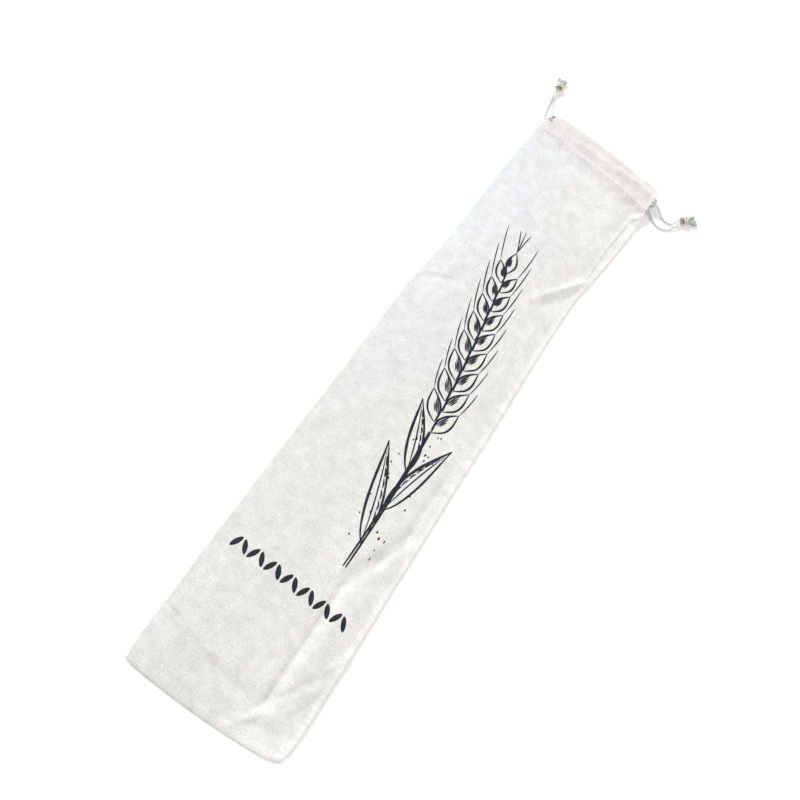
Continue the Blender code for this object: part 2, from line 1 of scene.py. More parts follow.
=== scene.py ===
# %% [markdown]
# # A linen bread bag that lies flat
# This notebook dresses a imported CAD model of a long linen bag. The bag is one piece of cloth, folded
# lengthwise at its left edge and seamed at its right edge and its bottom. The mouth is hemmed to the
# inside, and a cotton drawstring comes out of the hem at each side and ends in a knot.
# The CAD model is loaded first, because every piece that follows has to lie where it says.

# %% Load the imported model
import math
import random

import bmesh
import bpy
import numpy as np
from mathutils import Matrix, Vector, noise
from mathutils.bvhtree import BVHTree


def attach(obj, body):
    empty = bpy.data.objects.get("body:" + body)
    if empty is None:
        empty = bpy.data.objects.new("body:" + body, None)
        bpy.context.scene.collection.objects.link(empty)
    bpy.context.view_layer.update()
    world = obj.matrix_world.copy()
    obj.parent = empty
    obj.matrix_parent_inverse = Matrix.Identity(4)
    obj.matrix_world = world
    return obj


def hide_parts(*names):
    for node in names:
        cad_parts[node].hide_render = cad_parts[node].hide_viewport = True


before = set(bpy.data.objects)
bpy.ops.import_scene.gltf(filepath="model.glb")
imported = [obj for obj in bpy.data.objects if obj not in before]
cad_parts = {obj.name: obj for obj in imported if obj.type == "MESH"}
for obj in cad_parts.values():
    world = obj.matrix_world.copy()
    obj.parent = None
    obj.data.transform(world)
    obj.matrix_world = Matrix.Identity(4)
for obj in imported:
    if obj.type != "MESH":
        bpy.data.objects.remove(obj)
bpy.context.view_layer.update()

# %% [markdown]
# ## The camera comes first
# The photograph was taken from above and a little towards the bottom of the bag, with the camera
# turned so that the bag runs from the lower left to the upper right. Its place and its three axes
# were worked out from the bag's outline, taken as a rectangle of 150 by 693 mm.

# %% Camera
CAMERA_PLACE = (-0.02845, -0.3622, 0.7590)
CAMERA_RIGHT = Vector((0.80254, 0.54148, 0.25043))
CAMERA_UP = Vector((-0.59643, 0.73808, 0.31546))
LENS_MM = 40.5
SENSOR_MM = 36.0


def photograph_camera():
    right = CAMERA_RIGHT.normalized()
    back = right.cross(CAMERA_UP).normalized()
    up = back.cross(right)
    turn = Matrix((right, up, back)).transposed().to_4x4()
    camera = bpy.data.objects.new("camera", bpy.data.cameras.new("camera"))
    camera.matrix_world = Matrix.Translation(CAMERA_PLACE) @ turn
    camera.data.lens = LENS_MM
    camera.data.sensor_width = SENSOR_MM
    camera.data.clip_start = 0.01
    bpy.context.scene.collection.objects.link(camera)
    bpy.context.scene.camera = camera
    return camera


print("camera at", [round(v, 3) for v in photograph_camera().location])

# %% [markdown]
# ## Measures
# All measures are in millimetres, as on a maker's drawing, and are turned into metres where a mesh
# is made. "x" runs across the bag from the middle, "along" runs from the bottom edge to the mouth.

# %% Main sizes, the same as in the CAD
MM = 0.001
LENGTH = 693.0
CLOTH = 1.0
SEAM = 5.0
CORD = 2.0
GAP = 0.3
CHANNEL = CORD + 2 * GAP
CASING = CLOTH + CHANNEL + CLOTH
BACK_LANE = CASING / 2
BEYOND = 8.0
LEFT_X, RIGHT_X = -70.0, 72.0

# Sections across the bag: the distances of the two edges from the middle line, the heights of the
# cloth at the folded edge and at the seam, and how much higher the front stands between them.
SECTIONS = (
    # along, left, right, fold, seam, crown
    (0.0, 71.0, 74.0, 2.2, 2.2, 0.0),
    (13.0, 72.4, 77.0, 2.3, 2.2, 3.6),
    (35.0, 73.1, 77.7, 2.4, 2.2, 8.5),
    (68.0, 73.6, 77.2, 2.4, 2.2, 10.2),
    (113.0, 74.7, 75.7, 2.4, 2.2, 10.2),
    (173.0, 75.2, 74.2, 2.4, 2.2, 10.2),
    (233.0, 75.9, 72.6, 2.4, 2.2, 10.2),
    (293.0, 76.2, 70.6, 2.4, 2.2, 10.2),
    (353.0, 76.9, 69.5, 2.5, 2.2, 10.2),
    (403.0, 77.4, 67.9, 2.6, 2.2, 10.2),
    (431.0, 77.7, 67.1, 2.8, 2.2, 10.2),
    (452.0, 75.3, 66.5, 3.1, 2.2, 10.1),
    (493.0, 74.1, 66.1, 3.6, 2.2, 9.8),
    (523.0, 74.0, 66.9, 4.3, 2.2, 9.5),
    (557.0, 73.9, 70.9, 5.3, 2.2, 9.0),
    (584.0, 73.8, 73.8, 6.5, 2.2, 8.6),
    (612.0, 73.9, 75.8, 8.4, 2.4, 7.6),
    (638.0, 73.7, 77.0, 10.8, 3.4, 6.2),
    (655.0, 73.0, 75.8, 12.2, 7.6, 4.4),
    (668.0, 72.0, 75.0, 12.6, 11.8, 3.5),
    (683.0, 69.0, 76.0, 12.6, 12.6, 3.2),
    (693.0, 64.0, 75.0, 12.6, 12.6, 3.0),
)
LOWEST_FRONT = 2 * CLOTH + 0.2
DOME_POWER = 2.6

# %% [markdown]
# ## Small helpers for tables
# A table holds a few measured rows, and a smooth curve through them gives every place between. The
# helpers work on whole arrays at once, because the cloth has tens of thousands of points.

# %% Reading tables


def ease(part):
    part = np.clip(part, 0.0, 1.0)
    return part * part * (3.0 - 2.0 * part)


def read_table(table, column, place):
    rows = np.array(table, float)
    at, value = rows[:, 0], rows[:, column]
    slope = np.empty(len(at))
    slope[1:-1] = (value[2:] - value[:-2]) / (at[2:] - at[:-2])
    slope[0] = (value[1] - value[0]) / (at[1] - at[0])
    slope[-1] = (value[-1] - value[-2]) / (at[-1] - at[-2])
    i = np.clip(np.searchsorted(at, place) - 1, 0, len(at) - 2)
    span = at[i + 1] - at[i]
    t = np.clip((place - at[i]) / span, 0.0, 1.0)
    return (
        (1 + 2 * t) * (1 - t) ** 2 * value[i]
        + t * (1 - t) ** 2 * span * slope[i]
        + t * t * (3 - 2 * t) * value[i + 1]
        + t * t * (t - 1) * span * slope[i + 1]
    )


def left_edge(along):
    return -read_table(SECTIONS, 1, along)


def right_edge(along):
    return read_table(SECTIONS, 2, along)


def soft_noise(x, along, size, layer):
    """A smooth, repeatable noise from about -1 to 1, with bumps of about this size."""
    flat = [
        noise.noise((a / size, b / size, layer * 7.3))
        for a, b in zip(np.ravel(x), np.ravel(along))
    ]
    return np.reshape(flat, np.shape(x)) * 1.6


# %% [markdown]
# ## The hem that makes the casing
# The mouth's edge is turned to the inside and stitched down, so the cloth is double there and
# stands open round its two cords. The hem was turned by hand, so it is deeper at the right.
# It is a few millimetres deeper here than in the CAD, so that its stitches appear where the
# photograph has them.

# %% The casing's depth and thickness
CASING_DEPTH = 30.5
DEPTH_CHANGE = 1.3
DEPTH_TURN = 60.0
DEPTH_MIDDLE = -35.0
BODY_END = 1.5
CASING_FULL = 0.8
CASING_PROFILE = (
    # part of the depth from the mouth's edge, thickness there
    (0.00, 1.5),
    (0.02, 2.5),
    (0.06, 3.6),
    (0.16, 4.5),
    (0.36, 4.65),
    (0.68, 4.65),
    (0.86, 4.3),
    (0.97, 3.6),
    (1.02, 2.9),
    (1.045, 2.55),
    (1.07, 2.8),
    (1.14, 2.0),
    (1.24, 1.3),
    (1.38, 1.0),
)


def casing_depth(x):
    return CASING_DEPTH + DEPTH_CHANGE * np.clip((x - DEPTH_MIDDLE) / DEPTH_TURN, -1.0, 1.0)


def from_mouth(x, along):
    return (LENGTH - along) / casing_depth(x)


def hem_thickness(part):
    inside = read_table(CASING_PROFILE, 1, np.minimum(part, CASING_PROFILE[-1][0]))
    return np.where(part >= CASING_PROFILE[-1][0], CLOTH, inside)


print("casing:", casing_depth(LEFT_X), "mm deep at the left,", casing_depth(RIGHT_X), "at the right")

# %% [markdown]
# ## Folds and creases
# The bag was folded when it was packed and laid down by hand, so its front has a few main folds and
# many faint ones. Each is a straight ridge or trough that falls off to its sides. Most main folds
# are those of the CAD. The first seven are not: they were placed anew by the photograph, so near the
# bottom they lie a few millimetres off the CAD's, and one is a ridge where the CAD has a trough.
# The creases are finer, and are what makes it read as pressed cloth.

# %% Main folds and fine creases
FOLDS = (
    # from x, from along, to x, to along, height, width
    (-66.0, 56.0, -48.0, 49.0, 0.5, 5.0),
    (-48.0, 49.0, -18.0, 40.0, 1.3, 6.0),
    (-40.0, 30.0, -8.0, 26.0, -0.6, 9.0),
    (-18.0, 38.0, 14.0, 34.0, -0.9, 8.0),
    (14.0, 34.0, 36.0, 35.0, -0.7, 7.0),
    (36.8, 147.0, 38.2, 38.0, -1.6, 3.4),
    (-58.0, 648.0, 64.0, 646.0, -0.8, 6.0),
    (35.0, 150.0, 50.0, 184.0, -2.0, 6.0),
    (50.0, 184.0, 61.0, 216.0, -2.0, 6.0),
    (60.0, 212.0, 59.0, 262.0, -1.3, 4.5),
    (59.0, 262.0, 59.0, 300.0, -1.0, 4.5),
    (43.0, 32.0, 68.0, 82.0, -1.4, 6.0),
    (41.0, 27.0, 25.0, 6.0, 1.0, 4.5),
    (60.0, 52.0, 74.0, 100.0, 1.2, 6.0),
    (66.0, 546.0, 30.0, 488.0, 1.6, 5.0),
    (60.0, 520.0, 42.0, 488.0, -1.2, 6.0),
    (68.0, 640.0, 58.0, 655.0, -2.2, 8.0),
    (52.0, 640.0, 46.0, 610.0, 1.2, 9.0),
    (-62.0, 662.0, -34.0, 655.0, -1.0, 4.0),
    (-70.0, 436.0, -40.0, 452.0, -1.2, 7.0),
    (-72.0, 300.0, -42.0, 276.0, 0.9, 8.0),
    (-72.0, 262.0, -38.0, 236.0, 0.9, 8.0),
    (-72.0, 222.0, -36.0, 200.0, 1.0, 9.0),
    (-70.0, 360.0, -44.0, 344.0, 0.7, 9.0),
)
CREASES = (
    # from x, from along, to x, to along, height, width
    (-78.0, 54.5, -62.0, 51.0, -1.3, 1.4),
    (-62.0, 51.0, -50.0, 48.2, -1.2, 1.4),
    (-50.0, 48.2, -34.0, 40.8, -0.7, 1.9),
    (-34.0, 40.8, -16.0, 36.5, -0.35, 2.2),
    (-16.0, 36.5, 30.0, 30.0, -0.3, 2.4),
    (36.2, 147.0, 37.6, 40.0, -0.6, 1.3),
    (39.0, 148.0, 52.0, 181.0, -0.6, 2.2),
    (52.0, 181.0, 62.0, 210.0, -0.5, 2.2),
    (40.5, 44.0, 33.0, 27.0, -0.6, 2.2),
    (37.0, 31.0, 62.0, 74.0, -0.5, 2.2),
    (40.0, 27.0, 66.0, 68.0, 0.4, 2.4),
    (28.0, 11.0, 48.0, 19.0, -0.6, 2.4),
    (25.0, 6.0, 40.0, 26.0, 0.5, 2.2),
    (56.0, 60.0, 70.0, 94.0, 0.45, 2.4),
    (64.0, 40.0, 72.0, 62.0, -0.4, 2.2),
    (66.0, 546.0, 45.0, 512.0, 0.7, 1.8),
    (45.0, 512.0, 32.0, 490.0, 0.4, 2.0),
    (64.0, 552.0, 50.0, 560.0, -0.4, 2.4),
    (67.0, 640.0, 62.8, 590.0, 0.65, 1.3),
    (62.8, 590.0, 63.5, 549.0, 0.5, 1.3),
    (70.0, 636.0, 66.5, 592.0, -0.5, 1.6),
    (-61.5, 647.5, -41.5, 636.0, -0.9, 1.2),
    (-60.5, 644.5, -41.0, 633.5, 0.45, 1.6),
    (-72.0, 437.0, -48.0, 448.0, -0.6, 2.2),
    (-72.0, 443.0, -52.0, 452.0, 0.4, 2.4),
    (-60.0, 585.0, -30.0, 575.0, 0.3, 3.0),
    (-66.0, 530.0, -44.0, 512.0, -0.3, 3.0),
    (20.0, 618.0, 50.0, 632.0, -0.35, 3.2),
    (10.0, 640.0, 34.0, 634.0, 0.3, 3.0),
    (68.0, 646.0, 73.5, 652.0, 1.5, 2.4),
    (64.0, 652.0, 70.0, 656.0, -1.2, 2.6),
)
# These lie inside the casing's band: the trough between the two cords, and a few short gathers.
CASING_FOLDS = (
    # from x, from along, to x, to along, height, width
    (-62.0, 665.5, -12.0, 662.5, 0.55, 3.2),
    (-12.0, 662.5, 74.0, 662.0, 0.85, 2.8),
    (-24.0, 667.0, 16.0, 666.5, -0.55, 2.6),
    (16.0, 666.5, 74.0, 672.0, -0.65, 3.0),
    (-58.0, 677.0, -22.0, 675.0, 0.4, 4.6),
    (-22.0, 675.0, 26.0, 676.5, 1.1, 4.0),
    (26.0, 677.0, 48.0, 679.5, 1.4, 4.0),
    (48.0, 679.5, 76.0, 681.0, 1.6, 4.0),
    (-16.0, 684.5, 34.0, 685.5, -0.45, 1.8),
    (-52.0, 688.0, -34.0, 673.0, -0.3, 2.2),
    (38.0, 686.0, 43.0, 666.0, -0.25, 2.0),
    (57.0, 686.0, 60.0, 664.0, -0.25, 2.0),
)


def folds_at(table, x, along):
    total = np.zeros(np.shape(x))
    for x0, along0, x1, along1, height, width in table:
        dx, dy = x1 - x0, along1 - along0
        part = np.clip(((x - x0) * dx + (along - along0) * dy) / (dx * dx + dy * dy), 0.0, 1.0)
        away = np.hypot(x - x0 - part * dx, along - along0 - part * dy)
        total += height * np.exp(-((away / width) ** 2))
    return total


print(len(FOLDS), "main folds,", len(CREASES), "creases,", len(CASING_FOLDS), "in the casing")

# %% [markdown]
# ## Puckers and soft wrinkles
# A seam's thread is a little shorter than its cloth, so the cloth beside it rises in small waves.
# The casing's stitches do the same. Between the folds linen is never quite flat either, and a low
# noise with a long and a short wave gives it that unevenness.

# %% Puckers, wrinkles and the front's height
PUCKER_FROM, PUCKER_TO = 205.0, 455.0
PUCKER_PITCH, PUCKER_HEIGHT, PUCKER_REACH = 14.0, 1.1, 14.0
FINE_PUCKER_PITCH, FINE_PUCKER_HEIGHT, FINE_PUCKER_REACH = 6.1, 0.35, 7.0
STITCH_PART = 1.045
STITCH_PUCKER_PITCH, STITCH_PUCKER_HEIGHT = 6.6, 0.25
BOTTOM_PUCKER_PITCH, BOTTOM_PUCKER_HEIGHT = 4.7, 0.5
BOTTOM_PUCKER_PLACE, BOTTOM_PUCKER_WIDTH = 4.4, 2.0
PLANE_TOP_X, PLANE_TOP, PLANE_LEAN = 36.6, 147.0, 0.013
PLANE_RISE, PLANE_FALL, PLANE_HEIGHT = 12.0, 24.0, 2.3
LONG_WAVE, LONG_SIZE = 0.26, 46.0
MIDDLE_WAVE, MIDDLE_SIZE = 0.13, 17.0
SHORT_WAVE, SHORT_SIZE = 0.05, 6.5
DEEPEST = 0.7
MOUTH_FADE = 20.0


def seam_puckers(x, along):
    inward = right_edge(along) - SEAM - x
    swell = np.sin(math.pi * np.clip((along - PUCKER_FROM) / (PUCKER_TO - PUCKER_FROM), 0.0, 1.0))
    wave = 0.5 - 0.5 * np.cos(2 * math.pi * along / PUCKER_PITCH)
    fades = np.exp(-np.maximum(inward, 0.0) / PUCKER_REACH * 2.0)
    return PUCKER_HEIGHT * swell * wave * fades


def fine_puckers(x, along):
    """Smaller and less even waves along the whole seamed edge."""
    inward = np.maximum(right_edge(along) - SEAM - x, 0.0)
    shift = soft_noise(np.zeros(np.shape(along)), along, 31.0, 4.0) * 2.4
    wave = 0.5 - 0.5 * np.cos(2 * math.pi * along / FINE_PUCKER_PITCH + shift)
    return FINE_PUCKER_HEIGHT * wave * np.exp(-inward / FINE_PUCKER_REACH * 2.0)


def stitch_puckers(x, along):
    near = np.exp(-(((from_mouth(x, along) - STITCH_PART) / 0.13) ** 2))
    wave = np.cos(2 * math.pi * x / STITCH_PUCKER_PITCH + 1.7 * np.sin(x / 9.0))
    return STITCH_PUCKER_HEIGHT * wave * near


def pressed_plane(x, along):
    """Right of the long crease near the bottom the front stands up, and sinks again to the seam."""
    past = x - (PLANE_TOP_X + (PLANE_TOP - along) * PLANE_LEAN)
    rise = ease(past / PLANE_RISE) * (1.0 - 0.85 * ease((past - PLANE_RISE) / PLANE_FALL))
    ends = ease((PLANE_TOP + 18.0 - along) / 36.0) * ease((along - 14.0) / 26.0)
    return PLANE_HEIGHT * rise * ends


def bottom_puckers(x, along):
    """The bottom seam's low ridge, which its thread draws into small waves."""
    near = np.exp(-(((along - BOTTOM_PUCKER_PLACE) / BOTTOM_PUCKER_WIDTH) ** 2))
    wave = 0.75 + 0.5 * np.cos(2 * math.pi * x / BOTTOM_PUCKER_PITCH + 1.9 * np.sin(x / 11.0))
    return BOTTOM_PUCKER_HEIGHT * wave * near


def over_body(along):
    """1 over the body, falling to 0 at the mouth, whose casing has folds of its own."""
    return ease((LENGTH - along - MOUTH_FADE) / MOUTH_FADE)


def folded_height(x, along):
    """The front's height with its main folds, which its inner side follows too."""
    fold = read_table(SECTIONS, 3, along)
    seam = read_table(SECTIONS, 4, along)
    crown = read_table(SECTIONS, 5, along)
    start = left_edge(along) + fold / 2
    end = right_edge(along) - SEAM
    part = np.clip((x - start) / (end - start), 0.0, 1.0)
    dome = 1.0 - np.abs(2.0 * part - 1.0) ** DOME_POWER
    base = fold + (seam - fold) * ease(part) + crown * dome
    shape = folds_at(FOLDS, x, along) + seam_puckers(x, along) + pressed_plane(x, along)
    shape *= over_body(along)
    shape *= ease((x - start) / 8.0) * ease(along / 12.0)
    return np.maximum(LOWEST_FRONT, base + shape)


def fine_relief(x, along):
    """What only the outer side shows: creases, small puckers and wrinkles."""
    lip = ease((LENGTH - along) / 6.0)
    shape = fine_puckers(x, along) * over_body(along) + stitch_puckers(x, along)
    shape += LONG_WAVE * soft_noise(x * 1.3, along, LONG_SIZE, 1.0) * over_body(along)
    middle = MIDDLE_WAVE * soft_noise(x, along * 1.2, MIDDLE_SIZE, 2.0)
    shape += middle + SHORT_WAVE * soft_noise(x, along, SHORT_SIZE, 3.0)
    shape *= ease((x - left_edge(along) - 3.0) / 8.0) * ease(along / 8.0)
    creases = folds_at(CREASES, x, along) + folds_at(CASING_FOLDS, x, along) * lip
    shape += creases * ease((x - left_edge(along) - 0.8) / 2.0) + bottom_puckers(x, along)
    return np.where(shape < 0.0, -DEEPEST * np.tanh(-shape / DEEPEST), shape)


def front_middle(x, along):
    into_casing = ease((BODY_END - from_mouth(x, along)) / (BODY_END - CASING_FULL))
    return folded_height(x, along) - (CLOTH + (CASING - CLOTH) * into_casing) / 2


def front_top(x, along):
    thickness = hem_thickness(from_mouth(x, along)) / 2
    return front_middle(x, along) + thickness + fine_relief(x, along)


def front_underside(x, along):
    return front_middle(x, along) - hem_thickness(from_mouth(x, along)) / 2


print("the front's top in the middle:", round(float(front_top(0.0, LENGTH / 2)), 1), "mm")

# %% [markdown]
# ## Making the cloth
# The cloth could be one grid that is folded over itself, but its mouth, its casing and its slits
# would be hard to join. It is made as the CAD makes it: a closed outer skin, from which a pocket
# and a flat tube for the cords are cut away, so what is left is the thickness of the cloth.
# The outer skin is a stack of rings. Each ring runs round the folded edge, over the front, down at
# the seam and back along the underside.

# %% Rows along the bag
BODY_ROWS = 330
CASING_ROWS = 60
FRONT_COLUMNS = 100
BACK_COLUMNS = 40
ARC_STEPS = 8
SIDE_STEPS = 6
SIDE_GROOVE = 0.25
CREASE_BAND, CREASE_BAND_HALF = 50.0, 12.0
BOTTOM_BOW, BOW_MIDDLE, BOW_HALF, BOW_FADES = 3.6, -14.0, 75.0, 60.0
LOW_EDGE = 0.22
BOTTOM_RINGS = ((2.3, 0.08), (1.9, 0.32), (1.3, 0.60), (0.6, 0.86))
BACK_GROOVE, BACK_GROOVE_WIDTH = 0.45, 0.035
BACK_HOLLOW, BACK_HOLLOW_SIZE = 0.3, 30.0
SIDE_SWELL = 0.8
BOTTOM_START = 1.4
CORNER_FROM, CORNER_WIDE, CORNER_RISE = 60.0, 16.0, 3.4


def row_table(first, body_rows, casing_rows):
    """Rows as (start, fall): the place along the bag is start less fall times the casing's depth.
    They lie closer together at the sharp crease near the bottom."""
    share = np.arange(body_rows) / body_rows
    between = share + 0.5 / body_rows
    near = np.abs(between * LENGTH - CREASE_BAND) < CREASE_BAND_HALF
    share = np.sort(np.concatenate([share, between[near]]))
    body = np.stack([first * (1 - share) + share * LENGTH, share * BODY_END], axis=1)
    parts = BODY_END * (1 - np.arange(casing_rows + 1) / casing_rows) ** 1.15
    casing = np.stack([np.full(len(parts), LENGTH), parts], axis=1)
    return np.concatenate([body, casing])


def row_along(rows, x):
    start, fall = rows[:, 0], rows[:, 1]
    if np.ndim(x) == 2:
        start, fall = start[:, None], fall[:, None]
    return start - fall * casing_depth(x)


def column_parts(count):
    turn = 0.12 + 0.76 * np.arange(count + 1) / count
    parts = -np.cos(math.pi * turn)
    return (parts - parts[0]) / (parts[-1] - parts[0])


def bottom_bow(x, along):
    """The bottom edge bows down a little, most of all left of its middle, and its corners are round."""
    bow = BOTTOM_BOW * ((x - BOW_MIDDLE) / BOW_HALF) ** 2
    corner = CORNER_RISE * (np.maximum(0.0, np.abs(x) - CORNER_FROM) / CORNER_WIDE) ** 2
    return bow * (1.0 - ease(along / BOW_FADES)) + corner * (1.0 - ease(along / CORNER_WIDE))


def back_height(x, along):
    """The back lies flat, apart from shallow hollows and the groove of the casing's stitches."""
    groove = BACK_GROOVE * np.exp(-(((from_mouth(x, along) - STITCH_PART) / BACK_GROOVE_WIDTH) ** 2))
    hollows = BACK_HOLLOW * np.maximum(0.0, soft_noise(x, along, BACK_HOLLOW_SIZE, 5.0))
    return groove + hollows * ease((LENGTH - along - 40.0) / 20.0)


# %% [markdown]
# Where the front meets the back at the right, the two layers are sewn together. Their edge is a
# narrow wall with a shallow groove between the layers. At the left the ring is a half circle,
# because there the cloth only turns over. The bottom edge is pressed thin, with round corners.

# %% The rings of the outer skin


def outer_rings(rows):
    """x, along, height and the cloth's own two coordinates for each point, ring by ring."""
    edge = row_along(rows, left_edge(row_along(rows, LEFT_X)))
    high = front_top(left_edge(edge) + read_table(SECTIONS, 3, edge) / 2, edge)
    start, end = left_edge(edge) + high / 2, right_edge(row_along(rows, RIGHT_X))

    angle = math.pi * np.arange(ARC_STEPS) / ARC_STEPS
    arc_x = start[:, None] - high[:, None] / 2 * np.sin(angle)
    arc_z = high[:, None] / 2 * (1 - np.cos(angle))
    arc_along = np.repeat(edge[:, None], ARC_STEPS, axis=1)
    arc_u = start[:, None] - high[:, None] / 2 * (math.pi - angle)

    parts = column_parts(FRONT_COLUMNS)
    front_x = start[:, None] + (end - start)[:, None] * parts
    front_along = row_along(rows, front_x)
    front_z = front_top(front_x, front_along)

    down = np.arange(1, SIDE_STEPS) / SIDE_STEPS
    groove = SIDE_GROOVE * np.exp(-(((down - 0.5) / 0.12) ** 2))
    side_x = end[:, None] + SIDE_SWELL * np.sin(math.pi * down) - groove
    side_along = np.repeat(front_along[:, -1:], len(down), axis=1)
    side_z = front_z[:, -1:] * (1 - down)
    side_u = end[:, None] + front_z[:, -1:] * down

    parts = 1 - np.arange(BACK_COLUMNS) / BACK_COLUMNS
    back_x = start[:, None] + (end - start)[:, None] * parts
    back_along = row_along(rows, back_x)
    edge_fade = ease(parts * 12.0) * ease((1 - parts) * 12.0)
    back_z = back_height(back_x, back_along) * edge_fade
    back_u = 2 * start[:, None] - math.pi * high[:, None] / 2 - back_x

    x = np.concatenate([arc_x, front_x, side_x, back_x], axis=1)
    along = np.concatenate([arc_along, front_along, side_along, back_along], axis=1)
    z = np.concatenate([arc_z, front_z, side_z, back_z], axis=1)
    u = np.concatenate([arc_u, front_x, side_u, back_u], axis=1)
    return x, along + bottom_bow(x, along), z, u, along


def rounded_bottom(rings):
    """Adds a few smaller rings below the first one, so that the bottom seam has a thin round edge."""
    x, along, z, u, v = rings
    middle = z[0].max() * LOW_EDGE
    extra = []
    for drop, keep in BOTTOM_RINGS:
        extra.append((x[0], along[0] - drop, middle + (z[0] - middle) * keep, u[0], v[0] - drop))
    return [np.concatenate([np.stack([e[k] for e in extra]), rings[k]]) for k in range(5)]


# %% [markdown]
# A mesh is made from points and faces, and each corner of a face also gets the cloth's own
# coordinates, its UV. They are in metres, so the weave has the same size everywhere and runs on
# round the folded edge. The only break is where the real cloth has its seam.

# %% Mesh from rings
WEAVE_MAP = "weave"


def mesh_object(name, points, faces, corner_uvs=None):
    mesh = bpy.data.meshes.new(name)
    mesh.from_pydata([tuple(p) for p in points], [], faces)
    layer = mesh.uv_layers.new(name=WEAVE_MAP)
    if corner_uvs is None:
        corner_uvs = [points[v][:2] for face in faces for v in face]
    layer.data.foreach_set("uv", np.array(corner_uvs, np.float32).ravel())
    piece = bpy.data.objects.new(name, mesh)
    bpy.context.scene.collection.objects.link(piece)
    work = bmesh.new()
    work.from_mesh(mesh)
    bmesh.ops.remove_doubles(work, verts=work.verts, dist=1e-8)
    bmesh.ops.recalc_face_normals(work, faces=work.faces)
    work.to_mesh(mesh)
    work.free()
    return piece


def to_frame(x, along, z):
    """Millimetres on the bag as points of the frame, in metres."""
    return np.stack([np.ravel(x), np.ravel(along) - LENGTH / 2, np.ravel(z)], axis=1) * MM


def ring_faces(count, size):
    """The faces of a stack of closed rings, with a flat face on its first and its last ring."""
    faces = []
    for i in range(count - 1):
        for j in range(size):
            a, b = i * size + j, i * size + (j + 1) % size
            faces.append((a, b, b + size, a + size))
    for i in (0, count - 1):
        faces.append(tuple(range(i * size, (i + 1) * size)))
    return faces


def skin_from_rings(name, rings):
    x, along, z, u, v = rings
    count, size = x.shape
    points = to_frame(x, along, z)
    wrap = np.concatenate([u[:, 1:], u[:, -1:]], axis=1)
    side_end = ARC_STEPS + FRONT_COLUMNS + SIDE_STEPS - 1
    wrap[:, side_end] = u[:, side_end] + 1.0
    wrap[:, -1] = u[:, 0]
    corners = []
    for i in range(count - 1):
        for j in range(size):
            corners += [
                (u[i, j], v[i, j]), (wrap[i, j], v[i, j]),
                (wrap[i + 1, j], v[i + 1, j]), (u[i + 1, j], v[i + 1, j]),
            ]
    for i in (0, count - 1):
        corners += [(x[i, j], v[i, j]) for j in range(size)]
    return mesh_object(name, points, ring_faces(count, size), np.array(corners) * MM)


outer_skin = rounded_bottom(outer_rings(row_table(BOTTOM_START, BODY_ROWS, CASING_ROWS)))
bag = skin_from_rings("bag_linen", outer_skin)
print("outer skin:", len(bag.data.polygons), "faces")

# %% [markdown]
# ## Cutting out the inside
# The pocket ends above the bottom seam and inside the right seam, and opens at the mouth. At the
# right the seam stops below the casing, which leaves the short side slit that the cords leave by.
# The second cutter is the flat tube inside the casing. It goes along the front, round the fold at
# the left and back along the back, and both its ends are open at the right.

# %% Cutters
POCKET_ROWS = 220
POCKET_CASING_ROWS = 50
POCKET_COLUMNS = 64
SLIT_FROM, SLIT_FADE = 1.22, 0.16
THICKER_BOTTOM = 0.5
CHANNEL_MIDDLE, CHANNEL_HALF = 0.50, 0.37
CHANNEL_SIDES = 28
CHANNEL_STEPS = 60


def closed_loft(name, sections):
    """A closed body through rings of points in millimetres, with a flat face at each end."""
    x, along, z = np.array([p for section in sections for p in section], float).T
    return mesh_object(name, to_frame(x, along, z), ring_faces(len(sections), len(sections[0])))


def pocket_cutter():
    rows = row_table(SEAM + BOTTOM_BOW + 1.0, POCKET_ROWS, POCKET_CASING_ROWS)
    edge = row_along(rows, left_edge(row_along(rows, LEFT_X)))
    wall = hem_thickness(from_mouth(left_edge(edge), edge))
    high = front_underside(left_edge(edge) + read_table(SECTIONS, 3, edge) / 2, edge)
    round_off = (high - wall) / 2
    start = left_edge(edge) + wall + round_off
    last = row_along(rows, RIGHT_X)
    open_side = ease((SLIT_FROM - from_mouth(RIGHT_X, last)) / SLIT_FADE)
    end = right_edge(last) - SEAM + (SEAM + BEYOND) * open_side

    angle = math.pi * np.arange(ARC_STEPS) / ARC_STEPS
    arc_x = start[:, None] - round_off[:, None] * np.sin(angle)
    arc_z = wall[:, None] + round_off[:, None] * (1 - np.cos(angle))
    arc_along = np.repeat(edge[:, None], ARC_STEPS, axis=1)
    x = start[:, None] + (end - start)[:, None] * column_parts(POCKET_COLUMNS)
    along = row_along(rows, x)
    z = front_underside(np.minimum(x, right_edge(along)), along)
    z = z - THICKER_BOTTOM * (1.0 - ease((along - 10.0) / 25.0))
    floor = hem_thickness(from_mouth(x[:, -1], along[:, -1]))
    x = np.concatenate([arc_x, x, x[:, -1:]], axis=1)
    along = np.concatenate([arc_along, along, along[:, -1:]], axis=1)
    z = np.concatenate([arc_z, z, floor[:, None]], axis=1)
    sections = np.stack([x, along, z], axis=2)
    beyond = sections[-1:].copy()
    beyond[:, :, 1] = LENGTH + BEYOND
    return closed_loft("cut_pocket", np.concatenate([sections, beyond]).tolist())


# %% [markdown]
# On the real bag the hem leaves room for its cords all round. The tube's section is a flat oval with
# full sides. It is carried along the front, round the fold and back, always at the same share of
# the casing's depth, so the cloth round it keeps an even thickness.

# %% The tube for the cords


def fold_turn(along):
    """The middle and the radius of a cord's turn inside the casing's folded edge."""
    middle = left_edge(along) + read_table(SECTIONS, 3, along) / 2
    return middle, (front_middle(middle, along) - BACK_LANE) / 2


